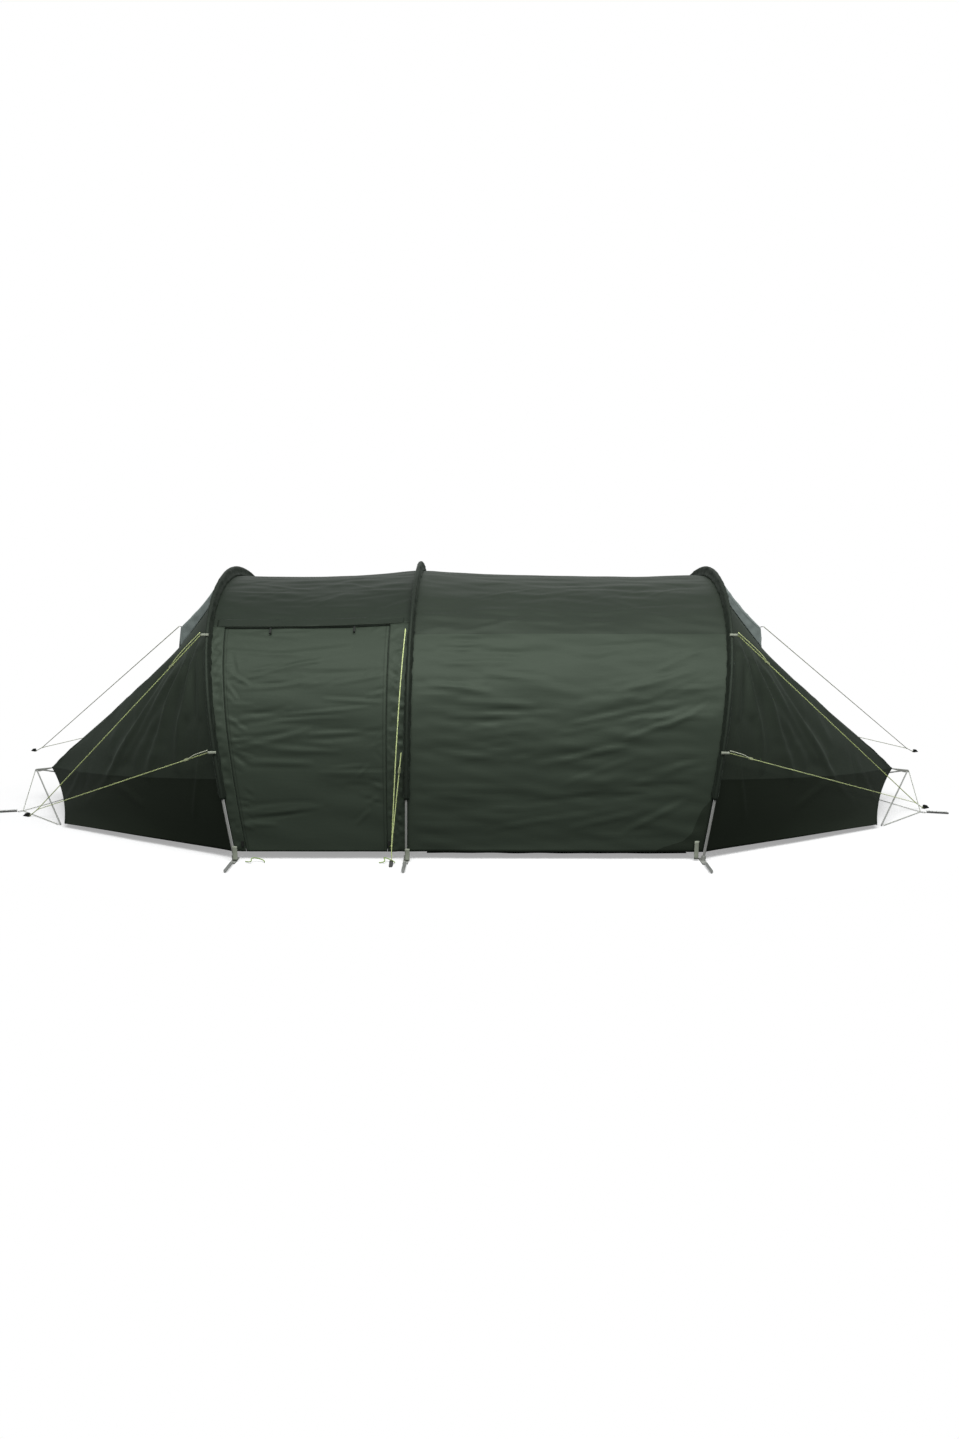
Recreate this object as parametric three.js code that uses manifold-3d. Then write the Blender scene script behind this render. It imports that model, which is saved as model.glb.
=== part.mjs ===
// A three-hoop tunnel tent: a porch, a sleeping section and two tapered ends, pegged and guyed out.
// Millimetres, +Z up, +X along the tunnel towards the sleeping end, origin on the ground at the plan
// centre. The side door faces -Y, which is called the near side.
import * as THREE from "three";
import { mergeVertices } from "three/addons/utils/BufferGeometryUtils.js";
import Module from "manifold-3d";

const wasm = await Module();
wasm.setup();

// ---- Driving dimensions ----------------------------------------------------------------------

// Hoops: each is a superellipse arch, wider than a circle at the shoulders, and may lean along X.
const HALF_WIDTH = 850;
const MIDDLE_HEIGHT = 1200;
const END_HEIGHT = 1176;
const SIDE_POWER = 1.9;
const TOP_POWER = 3.1;
const END_FOOT_X = 957;
const END_TOP_X = 1128;
const MIDDLE_FOOT_X = -256;
const MIDDLE_TOP_X = -238;

// Poles and their sleeves.
const POLE_DIAMETER = 9.5;
const POLE_FOOT_HEIGHT = 7;
const POLE_DEPTH = 11; // from the sleeve's outer edge to the pole's centreline
const SLEEVE_PLAY = 4.5;
const SLEEVE_BORE_DIAMETER = POLE_DIAMETER + SLEEVE_PLAY;
const SLEEVE_START_HEIGHT = 260;
const SLEEVE_BASE_WIDTH = 26;
const SLEEVE_WALL = 2.5;
const SLEEVE_TOP_WIDTH = SLEEVE_BORE_DIAMETER + 2 * SLEEVE_WALL;
const SLEEVE_STANDOFF = 4; // from the fly to the sleeve's base

// Flysheet.
const FABRIC = 4;
const HEM_HEIGHT = 35;
const FLY_SIDE_INSET = 26; // from a hoop's outer edge in to the fly, at the sides
const FLY_TOP_INSET = 48; // and at the top
const ROOF_SAG = 16;
const WALL_WAIST = 12;
const SEAM_GAP = 1.5;
const END_SEAM_GAP = 4; // wider, because an end falls away steeply from its hoop

// Side door in the porch's near wall, as shares of the porch's length.
const DOOR_FROM = 0.07;
const DOOR_TO = 0.892;
const DOOR_TOP_HEIGHT = 930;
const DOOR_GAP = 4;
const FLAP_HEIGHT = 45;
const FLAP_STANDOFF = 10;
const FLAP_THICKNESS = 3;

// Tapered ends.
const TIP_X = 2096;
const TIP_HEIGHT = 184;
const TIP_HALF_WIDTH = 14;
const CORNER_X = 1857;
const CORNER_INSET = 435; // from the hoops' half width in to the corner
const CORNER_Y = HALF_WIDTH - CORNER_INSET;
const CORNER_HEIGHT = 22;
const EDGE_BOW = 22;
const FOLD_BELOW_TOP = 226; // the fabric folds from this far below the hoop's top down to the tip
const FOLD_HEIGHT = END_HEIGHT - FOLD_BELOW_TOP;
const PANEL_DIP = 100;

// Vent hoods under the end hoops.
const HOOD_ROOT_HALF_WIDTH = 330;
const HOOD_TIP_HALF_WIDTH = 205;
const HOOD_REACH = 284; // from the hoop's top out to the hood's tip
const HOOD_TIP_X = END_TOP_X + HOOD_REACH;
const HOOD_TIP_RISE = 35; // above the straight line from the hoop's top to the tent's tip
const HOOD_DROOP = 100;
const HOOD_LIFT = 9;
const HOOD_FABRIC = 3;

// End struts: two rods a side that meet at the apex tab.
const STRUT_DIAMETER = 7;
const STRUT_RUN = 280; // along X from a strut's foot to the apex
const APEX_REACH = 77; // from the fabric's tip out to the apex
const APEX_DROP = 18;
const APEX_X = TIP_X + APEX_REACH;
const APEX_HEIGHT = TIP_HEIGHT - APEX_DROP;
const STRUT_FOOT_X = APEX_X - STRUT_RUN;
const STRUT_FOOT_Y = CORNER_Y - 35;
const STRUT_FOOT_HEIGHT = 6;
const APEX_TAB = { length: 70, width: 13, thickness: 11 };

// Cords, rings, pegs.
const CORD_DIAMETER = 3;
const RING_X = APEX_X + 21;
const RING_Y = -165;
const RING_RADIUS = 9;
const RING_WIRE = 1.8;
const PEG = { length: 98, width: 15, height: 11, wall: 2.5, point: 28 };
const GUY_PEG = { length: 40, width: 14, height: 17, lip: 6 };
const UPPER_GUY_BELOW_TOP = 271;
const LOWER_GUY_HEIGHT = 453;
const GUY_STANDOFF = 14;
const NEAR_LEFT_PEG = [67 - APEX_X, -0.59 * CORNER_Y];
const NEAR_RIGHT_PEG = [APEX_X + 52, -0.236 * CORNER_Y];
const FAR_PEG = [2770, 1117];
const MIDDLE_PEG_X = -312;
const MIDDLE_PEG_OUT = 22; // from the hoop's outer edge out to the peg
const GUY_JOIN = 70; // the two lines of a guy meet this far before the peg

// Guy tensioners, each this far along its line from the hoop.
const TENSIONER = { length: 24, width: 10, thickness: 6, bore: 4.4 };
const UPPER_TENSIONER_AT = 200;
const LOWER_TENSIONER_AT = 120;
const MIDDLE_TENSIONER_AT = 60;

// Foot straps, which hold the pole tips.
const CUP = { radius: 9.5, height: 22, clearance: 0.6, floor: 5.5 };
const STRAP = { width: 22, thickness: 4, out: 40, back: 30, eye: 5 };

// Zip sliders and door toggles.
const SLIDER = { width: 10, length: 22, thickness: 6, gap: 2.5 };
const SLIDER_HEIGHT = 70;
const SLIDER_TRAVEL = 180;
const TOGGLE = { length: 30, diameter: 8, below: 34, standoff: 12 };
const TOGGLE_AT = [0.299, 0.716];

// Inner tent and its groundsheet.
const INNER_FROM_X = -178;
const INNER_TO_X = 912;
const INNER_INSET = 100;
const INNER_WALL = 4;
const DOORWAY = { halfWidth: 480, height: 860, sill: 120 };
const GROUNDSHEET = 5;

// Slivers thinner than this are merged away where pieces are joined.
const SLIVER = 0.05;

// Facet counts.
const ARCH_STEPS = 28;
const WALL_STEPS = 24;
const POLE_SIDES = 8;

// ---- Materials -------------------------------------------------------------------------------

const LOOKS = {
  fly: [0x4c5449, 0.75, 0],
  dark_fly: [0x22271f, 0.8, 0],
  sleeve: [0x1f2620, 0.8, 0],
  hood: [0x747d78, 0.7, 0],
  inner: [0x8f9488, 0.85, 0],
  groundsheet: [0x2a2d2c, 0.7, 0],
  pole: [0x9a9b97, 0.35, 0.8],
  strut: [0x5a5c5a, 0.4, 0.5],
  webbing: [0x7d7f7b, 0.9, 0],
  guy_cord: [0xb4c487, 0.8, 0],
  bridle_cord: [0xa9aaa6, 0.8, 0],
  peg: [0x6f7270, 0.4, 0.8],
  plastic: [0x23271f, 0.5, 0],
  ring: [0x8c8e8c, 0.3, 0.9],
};

const tent = new THREE.Group();

function add(name, look, geometry) {
  const [color, roughness, metalness] = LOOKS[look];
  const mesh = new THREE.Mesh(geometry, new THREE.MeshStandardMaterial({ color, roughness, metalness }));
  mesh.name = name;
  tent.add(mesh);
  return mesh;
}

// ---- Solids ----------------------------------------------------------------------------------

function solidOf(geometry) {
  const bare = geometry.index ? geometry.toNonIndexed() : geometry.clone();
  bare.deleteAttribute("normal");
  bare.deleteAttribute("uv");
  const merged = mergeVertices(bare, 1e-3);
  return new wasm.Manifold(
    new wasm.Mesh({
      numProp: 3,
      vertProperties: merged.attributes.position.array,
      triVerts: new Uint32Array(merged.index.array),
    }),
  );
}

function geometryOf(solid) {
  const mesh = solid.getMesh();
  return new THREE.BufferGeometry()
    .setAttribute("position", new THREE.BufferAttribute(mesh.vertProperties, 3))
    .setIndex(new THREE.BufferAttribute(mesh.triVerts, 1));
}

function joined(...geometries) {
  const solids = geometries.map(solidOf);
  return geometryOf(solids.reduce((whole, solid) => whole.add(solid)).simplify(SLIVER));
}

function cut(geometry, ...tools) {
  const whole = tools.reduce((left, tool) => left.subtract(solidOf(tool)), solidOf(geometry));
  return geometryOf(whole);
}

// A closed geometry from a list of points and triangles, turned so that its faces point out.
function closedGeometry(points, triangles) {
  const sixVolumes = triangles.reduce((sum, [a, b, c]) => {
    return sum + points[a].dot(new THREE.Vector3().crossVectors(points[b], points[c]));
  }, 0);
  const outward = sixVolumes < 0 ? triangles.map(([a, b, c]) => [a, c, b]) : triangles;
  return new THREE.BufferGeometry().setFromPoints(points).setIndex(outward.flat());
}

function quad(a, b, c, d) {
  return [
    [a, b, c],
    [a, c, d],
  ];
}

// A solid skinned over rings of points, with a flat cap on its first and last ring.
function loft(rings) {
  const sides = rings[0].length;
  const triangles = [];
  for (let ring = 0; ring + 1 < rings.length; ring++) {
    for (let side = 0; side < sides; side++) {
      const next = (side + 1) % sides;
      const low = ring * sides;
      const high = low + sides;
      triangles.push(...quad(low + side, low + next, high + next, high + side));
    }
  }
  const last = (rings.length - 1) * sides;
  for (let side = 1; side + 1 < sides; side++) {
    triangles.push([0, side + 1, side], [last, last + side, last + side + 1]);
  }
  return closedGeometry(rings.flat(), triangles);
}

// A sheet of even thickness under a grid of points. Rows run towards +X and each row from the near
// side over the top, so the grid is the sheet's outer face.
function sheet(grid, thickness, lift = 0) {
  const rows = grid.length;
  const columns = grid[0].length;
  const at = (row, column) => {
    const r = Math.min(Math.max(row, 0), rows - 1);
    return grid[r][Math.min(Math.max(column, 0), columns - 1)];
  };
  const outer = [];
  const inner = [];
  for (let row = 0; row < rows; row++) {
    for (let column = 0; column < columns; column++) {
      const along = new THREE.Vector3().subVectors(at(row + 1, column), at(row - 1, column));
      const around = new THREE.Vector3().subVectors(at(row, column + 1), at(row, column - 1));
      const out = along.cross(around).normalize();
      outer.push(at(row, column).clone().addScaledVector(out, lift));
      inner.push(at(row, column).clone().addScaledVector(out, lift - thickness));
    }
  }
  const top = (row, column) => row * columns + column;
  const under = (row, column) => rows * columns + top(row, column);
  const triangles = [];
  for (let row = 0; row + 1 < rows; row++) {
    for (let column = 0; column + 1 < columns; column++) {
      const corners = [[row, column], [row + 1, column], [row + 1, column + 1], [row, column + 1]];
      triangles.push(...quad(...corners.map(([r, c]) => top(r, c))));
      triangles.push(...quad(...corners.reverse().map(([r, c]) => under(r, c))));
    }
    const far = columns - 1;
    triangles.push(...quad(top(row, 0), under(row, 0), under(row + 1, 0), top(row + 1, 0)));
    triangles.push(...quad(top(row + 1, far), under(row + 1, far), under(row, far), top(row, far)));
  }
  for (let column = 0; column + 1 < columns; column++) {
    const end = rows - 1;
    triangles.push(...quad(top(0, column), top(0, column + 1), under(0, column + 1), under(0, column)));
    triangles.push(...quad(top(end, column + 1), top(end, column), under(end, column), under(end, column + 1)));
  }
  return closedGeometry([...outer, ...inner], triangles);
}

function circle(radius, sides) {
  const outline = new THREE.Shape();
  for (let side = 0; side < sides; side++) {
    const angle = (2 * Math.PI * side) / sides;
    const point = [radius * Math.cos(angle), radius * Math.sin(angle)];
    if (side === 0) outline.moveTo(...point);
    else outline.lineTo(...point);
  }
  outline.closePath();
  return outline;
}

// A round bar along a line of points.
function bar(points, diameter, sides = 8) {
  const path = new THREE.CurvePath();
  for (let i = 0; i + 1 < points.length; i++) {
    path.add(new THREE.LineCurve3(points[i], points[i + 1]));
  }
  const straight = points.length === 2;
  const extrudePath = straight ? path.curves[0] : new THREE.CatmullRomCurve3(points);
  const steps = straight ? 1 : points.length - 1;
  return new THREE.ExtrudeGeometry(circle(diameter / 2, sides), { extrudePath, steps });
}

function towards(from, to, distance) {
  return from.clone().addScaledVector(new THREE.Vector3().subVectors(to, from).normalize(), distance);
}

function mix(a, b, share) {
  return a.clone().lerp(b, share);
}

// ---- Hoop lines ------------------------------------------------------------------------------

const HOOPS = {
  left: { footX: -END_FOOT_X, topX: -END_TOP_X, height: END_HEIGHT },
  middle: { footX: MIDDLE_FOOT_X, topX: MIDDLE_TOP_X, height: MIDDLE_HEIGHT },
  right: { footX: END_FOOT_X, topX: END_TOP_X, height: END_HEIGHT },
};

// How far along X a hoop's plane is at a height.
function leanX(hoop, z) {
  return hoop.footX + ((hoop.topX - hoop.footX) * z) / hoop.height;
}

// Half the width, at a height, of the arch that is inset from a hoop.
function halfWidthAt(hoop, z, sideInset, topInset) {
  const sine = Math.pow(Math.min(z / (hoop.height - topInset), 1), TOP_POWER / 2);
  const cosine = Math.sqrt(Math.max(0, 1 - sine * sine));
  return (HALF_WIDTH - sideInset) * Math.pow(cosine, 2 / SIDE_POWER);
}

// Evenly spaced points along a hoop, inset from its outer edge, from fromHeight on the near side
// over the top to the same height on the far side.
function arch(hoop, sideInset, topInset, fromHeight, steps) {
  const top = hoop.height - topInset;
  const start = Math.asin(Math.pow(fromHeight / top, TOP_POWER / 2));
  const fine = 1500;
  const points = [];
  const lengths = [0];
  for (let i = 0; i <= fine; i++) {
    const angle = start + ((Math.PI - 2 * start) * i) / fine;
    const z = top * Math.pow(Math.max(0, Math.sin(angle)), 2 / TOP_POWER);
    const cosine = Math.cos(angle);
    const y = -(HALF_WIDTH - sideInset) * Math.sign(cosine) * Math.pow(Math.abs(cosine), 2 / SIDE_POWER);
    points.push(new THREE.Vector3(leanX(hoop, z), y, z));
    if (i > 0) lengths.push(lengths[i - 1] + points[i].distanceTo(points[i - 1]));
  }
  const even = [];
  let next = 0;
  for (let step = 0; step <= steps; step++) {
    const wanted = (lengths[fine] * step) / steps;
    while (next < fine - 1 && lengths[next + 1] < wanted) next++;
    const share = (wanted - lengths[next]) / (lengths[next + 1] - lengths[next]);
    even.push(mix(points[next], points[next + 1], Math.min(share, 1)));
  }
  return even;
}

function flyArch(hoop) {
  return arch(hoop, FLY_SIDE_INSET, FLY_TOP_INSET, HEM_HEIGHT, WALL_STEPS);
}

// The point on a hoop's outer edge at a height, on the near (-1) or far (+1) side.
function hoopEdge(hoop, z, side, out = 0) {
  return new THREE.Vector3(leanX(hoop, z), side * (halfWidthAt(hoop, z, 0, 0) + out), z);
}

// ---- Poles and sleeves -----------------------------------------------------------------------

function distanceToLine(point, line) {
  let least = Infinity;
  for (let i = 0; i + 1 < line.length; i++) {
    const nearest = new THREE.Line3(line[i], line[i + 1]).closestPointToPoint(
      point,
      true,
      new THREE.Vector3(),
    );
    least = Math.min(least, nearest.distanceTo(point));
  }
  return least;
}

// A fin-shaped tube over the pole, whose base lies just off the fly.
function sleeveGeometry(hoop) {
  const line = arch(hoop, POLE_DEPTH, POLE_DEPTH, SLEEVE_START_HEIGHT, ARCH_STEPS);
  const fly = arch(hoop, FLY_SIDE_INSET, FLY_TOP_INSET, HEM_HEIGHT, 120);
  const bore = SLEEVE_BORE_DIAMETER / 2;
  const finRings = [];
  const boreRings = [];
  line.forEach((centre, i) => {
    const before = line[Math.max(i - 1, 0)];
    const after = line[Math.min(i + 1, line.length - 1)];
    const along = new THREE.Vector3().subVectors(after, before).normalize();
    const acrossRaw = new THREE.Vector3(1, 0, 0).addScaledVector(along, -along.x);
    const across = acrossRaw.normalize();
    const out = new THREE.Vector3().crossVectors(across, along).normalize();
    if (out.dot(new THREE.Vector3(0, centre.y, centre.z)) < 0) out.negate();
    const depth = distanceToLine(centre, fly) - SLEEVE_STANDOFF;
    const place = (sideways, outwards) => {
      return centre.clone().addScaledVector(across, sideways).addScaledVector(out, outwards);
    };
    const half = SLEEVE_TOP_WIDTH / 2;
    const base = SLEEVE_BASE_WIDTH / 2;
    finRings.push([
      place(-base, -depth),
      place(-half, 0),
      place(-half * 0.6, POLE_DEPTH - 2),
      place(half * 0.6, POLE_DEPTH - 2),
      place(half, 0),
      place(base, -depth),
    ]);
    const over = i === 0 ? -5 : i === line.length - 1 ? 5 : 0;
    const ring = [];
    for (let side = 0; side < 6; side++) {
      const angle = (Math.PI * (side + 0.5)) / 3;
      const point = place(bore * Math.cos(angle), bore * Math.sin(angle));
      ring.push(point.addScaledVector(along, over));
    }
    boreRings.push(ring);
  });
  return cut(loft(finRings), loft(boreRings));
}

for (const [place, hoop] of Object.entries(HOOPS)) {
  const line = arch(hoop, POLE_DEPTH, POLE_DEPTH, POLE_FOOT_HEIGHT, ARCH_STEPS + 4);
  add(`pole_${place}`, "pole", bar(line, POLE_DIAMETER, POLE_SIDES));
  add(`sleeve_${place}`, "sleeve", sleeveGeometry(hoop));
}

// ---- Foot straps and pegs --------------------------------------------------------------------

// A V-section stake lying along +Y from the origin, with a pointed far end.
function pegGeometry() {
  const { length, width, height, wall, point } = PEG;
  const section = (scale) => [
    [-width / 2, height * scale],
    [-width / 2 + wall, height * scale],
    [0, wall * 1.6],
    [width / 2 - wall, height * scale],
    [width / 2, height * scale],
    [0, 0],
  ];
  const outline = new THREE.Shape(section(1).map(([x, z]) => new THREE.Vector2(x, z)));
  const stake = new THREE.ExtrudeGeometry(outline, { depth: length, bevelEnabled: false });
  stake.rotateX(Math.PI / 2).translate(0, length, 0);
  const slope = new THREE.BoxGeometry(2 * width, 2 * point, 2 * height);
  slope.rotateX(-Math.atan2(height - wall, point));
  const lift = height + wall;
  slope.translate(0, length + point * 0.2, lift + height * 0.45);
  return cut(stake, slope);
}

// A ground strap along Y, with a cup for the pole's tip that leans with the pole.
function strapGeometry(lean) {
  const { width, thickness, out, back, eye } = STRAP;
  const web = new THREE.BoxGeometry(width, out + back, thickness);
  web.translate(0, (back - out) / 2, thickness / 2 + 0.5);
  const cup = new THREE.CylinderGeometry(CUP.radius, CUP.radius, CUP.height, 10);
  cup.rotateX(Math.PI / 2).translate(0, 0, CUP.height / 2).rotateY(lean).translate(0, 0, 2);
  const socketRadius = POLE_DIAMETER / 2 + CUP.clearance;
  const socket = new THREE.CylinderGeometry(socketRadius, socketRadius, 2 * CUP.height, 10);
  socket.rotateX(Math.PI / 2).translate(0, 0, CUP.height + CUP.floor - 2).rotateY(lean).translate(0, 0, 2);
  const eyelet = new THREE.CylinderGeometry(eye, eye, 4 * thickness, 8);
  eyelet.rotateX(Math.PI / 2).translate(0, -out + 2 * eye, 0);
  return cut(joined(web, cup), socket, eyelet);
}

for (const [place, hoop] of Object.entries(HOOPS)) {
  for (const [sideName, side] of [["near", -1], ["far", 1]]) {
    const lean = Math.atan2(hoop.topX - hoop.footX, hoop.height);
    const strap = add(`foot_strap_${place}_${sideName}`, "webbing", strapGeometry(-side * lean));
    strap.position.set(leanX(hoop, 2), side * (HALF_WIDTH - POLE_DEPTH), 0);
    strap.rotation.z = side < 0 ? 0 : Math.PI;
    const peg = add(`foot_peg_${place}_${sideName}`, "peg", pegGeometry());
    const pegY = HALF_WIDTH - POLE_DEPTH + STRAP.out + SEAM_GAP;
    peg.position.set(leanX(hoop, 0), side * pegY, 0);
    peg.rotation.z = side < 0 ? Math.PI : 0;
  }
}

// ---- Flysheet over the porch and the sleeping section ----------------------------------------

// The fly between two hoops, at a share of the way between them and a share of the way round.
function flySurface(from, to) {
  const fromArch = flyArch(from);
  const toArch = flyArch(to);
  const onArch = (points, share) => {
    const place = Math.min(Math.max(share, 0), 1) * WALL_STEPS;
    const low = Math.min(Math.floor(place), WALL_STEPS - 1);
    return mix(points[low], points[low + 1], place - low);
  };
  return (along, around) => {
    const point = mix(onArch(fromArch, around), onArch(toArch, around), along);
    const slack = 4 * along * (1 - along);
    const height = Math.max(0, point.z - HEM_HEIGHT) / (from.height - FLY_TOP_INSET);
    point.z -= slack * ROOF_SAG * Math.pow(height, 3);
    point.y -= Math.sign(point.y) * slack * WALL_WAIST * Math.sin(Math.PI * Math.min(1, height));
    return point;
  };
}

function gridOf(surface, alongFrom, alongTo, rows, aroundFrom, aroundTo, columns) {
  const grid = [];
  for (let row = 0; row <= rows; row++) {
    const along = alongFrom + ((alongTo - alongFrom) * row) / rows;
    const line = [];
    for (let column = 0; column <= columns; column++) {
      line.push(surface(along, aroundFrom + ((aroundTo - aroundFrom) * column) / columns));
    }
    grid.push(line);
  }
  return grid;
}

// The share of the way round at which a surface reaches a height on the near side.
function aroundAt(surface, along, height) {
  let low = 0;
  let high = 0.5;
  for (let i = 0; i < 40; i++) {
    const middle = (low + high) / 2;
    if (surface(along, middle).z < height) low = middle;
    else high = middle;
  }
  return low;
}

const porch = flySurface(HOOPS.left, HOOPS.middle);
const porchLength = MIDDLE_FOOT_X + END_FOOT_X;
const sleeping = flySurface(HOOPS.middle, HOOPS.right);
const sleepingLength = END_FOOT_X - MIDDLE_FOOT_X;
const wallLength = 2 * porch(0.5, 0.5).z + HALF_WIDTH; // about the length of fabric round a hoop
const porchGap = SEAM_GAP / porchLength;
const sleepingGap = SEAM_GAP / sleepingLength;
const doorTop = aroundAt(porch, 0.5, DOOR_TOP_HEIGHT);
const gapAlong = DOOR_GAP / porchLength;
const gapAround = DOOR_GAP / wallLength;

function porchFly() {
  const whole = sheet(gridOf(porch, porchGap, 1 - porchGap, 6, 0, 1, WALL_STEPS), FABRIC);
  const belowHem = (along, around) => {
    if (around >= 0) return porch(along, around);
    const hem = porch(along, 0);
    return hem.add(new THREE.Vector3(0, 0, around * wallLength));
  };
  const opening = gridOf(belowHem, DOOR_FROM, DOOR_TO, 6, -0.02, doorTop, 12);
  const doorway = sheet(opening, 12 * FABRIC, 6 * FABRIC);
  const flapShare = FLAP_HEIGHT / wallLength;
  const flapGap = (SLEEVE_BASE_WIDTH / 2 + 3 * SEAM_GAP) / porchLength;
  const flapGrid = gridOf(porch, flapGap, 1 - flapGap, 6, doorTop, doorTop + flapShare, 3);
  const lifted = flapGrid.map((row) =>
    row.map((point, column) => {
      const share = 1 - column / 3;
      const out = new THREE.Vector3(0, -Math.SQRT1_2, Math.SQRT1_2);
      return point.clone().addScaledVector(out, 1 + FLAP_STANDOFF * share);
    }),
  );
  return joined(cut(whole, doorway), sheet(lifted, FLAP_THICKNESS));
}

add("fly_porch", "fly", porchFly());

const doorGrid = gridOf(
  porch,
  DOOR_FROM + gapAlong,
  DOOR_TO - gapAlong,
  6,
  0,
  doorTop - gapAround,
  11,
);
add("side_door", "fly", sheet(doorGrid, FABRIC));

add(
  "fly_sleeping",
  "fly",
  sheet(gridOf(sleeping, sleepingGap, 1 - sleepingGap, 7, 0, 1, WALL_STEPS), FABRIC),
);

// ---- Tapered ends ----------------------------------------------------------------------------

// An end runs from its hoop (0) to its outer edge (1). Its outer edge rises from each ground corner
// to the tip in a shallow bow. Between the two folds it is one panel that dips in the middle.
function endSurface(side) {
  const hoop = side < 0 ? HOOPS.left : HOOPS.right;
  const hoopArch = flyArch(hoop);
  const fold = hoopArch.findIndex((point) => point.z > FOLD_HEIGHT) / WALL_STEPS;
  const foldY = halfWidthAt(hoop, FOLD_HEIGHT, FLY_SIDE_INSET, FLY_TOP_INSET);
  const edgePoint = (around) => {
    const nearSide = around < 0.5 ? -1 : 1;
    const fromHem = Math.min(around, 1 - around);
    const rise = Math.min(fromHem / fold, 1);
    const across = Math.max(0, (fromHem - fold) / (0.5 - fold));
    const bow = 4 * rise * (1 - rise) * EDGE_BOW;
    return new THREE.Vector3(
      side * (CORNER_X + (TIP_X - CORNER_X) * rise - bow),
      nearSide * (CORNER_Y + (TIP_HALF_WIDTH - CORNER_Y) * rise) * (1 - across),
      CORNER_HEIGHT + (TIP_HEIGHT - CORNER_HEIGHT) * rise,
    );
  };
  return (along, around) => {
    const place = around * WALL_STEPS;
    const low = Math.min(Math.floor(place), WALL_STEPS - 1);
    const start = mix(hoopArch[low], hoopArch[low + 1], place - low);
    start.x += side * END_SEAM_GAP;
    const point = mix(start, edgePoint(around), along);
    const inPanel = Math.max(0, 1 - Math.pow(start.y / foldY, 2));
    point.z -= PANEL_DIP * inPanel * 6.75 * along * (1 - along) * (1 - along);
    return point;
  };
}

for (const [place, side] of [["left", -1], ["right", 1]]) {
  const surface = endSurface(side);
  const from = side < 0 ? 1 : 0;
  add(`end_${place}`, "fly", sheet(gridOf(surface, from, 1 - from, 7, 0, 1, WALL_STEPS), FABRIC));
}

// ---- Vent hoods ------------------------------------------------------------------------------

const hoopTop = END_HEIGHT - FLY_TOP_INSET;
const hoodShare = HOOD_REACH / (TIP_X - END_TOP_X);
const hoodTipHeight = hoopTop + (TIP_HEIGHT - hoopTop) * hoodShare + HOOD_TIP_RISE;

for (const [place, side] of [["left", -1], ["right", 1]]) {
  const hoop = side < 0 ? HOOPS.left : HOOPS.right;
  const top = hoop.height - FLY_TOP_INSET;
  const hood = (along, around) => {
    const across = 2 * around - 1;
    const rootY = HOOD_ROOT_HALF_WIDTH * across;
    const cosine = Math.pow(Math.abs(rootY) / (HALF_WIDTH - FLY_SIDE_INSET), SIDE_POWER / 2);
    const rootZ = top * Math.pow(1 - cosine * cosine, 1 / TOP_POWER) + HOOD_LIFT;
    const rootX = leanX(hoop, rootZ + FLY_TOP_INSET) + side * (SLEEVE_BASE_WIDTH / 2 + 4 * SEAM_GAP);
    const root = new THREE.Vector3(rootX, rootY, rootZ);
    const tipY = HOOD_TIP_HALF_WIDTH * across;
    const tipZ = hoodTipHeight - HOOD_DROOP * across * across;
    return mix(root, new THREE.Vector3(side * HOOD_TIP_X, tipY, tipZ), along);
  };
  const from = side < 0 ? 1 : 0;
  add(`vent_hood_${place}`, "hood", sheet(gridOf(hood, from, 1 - from, 4, 0, 1, 8), HOOD_FABRIC));
}

// ---- End struts, apex tabs, bridles, rings and end pegs --------------------------------------

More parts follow.
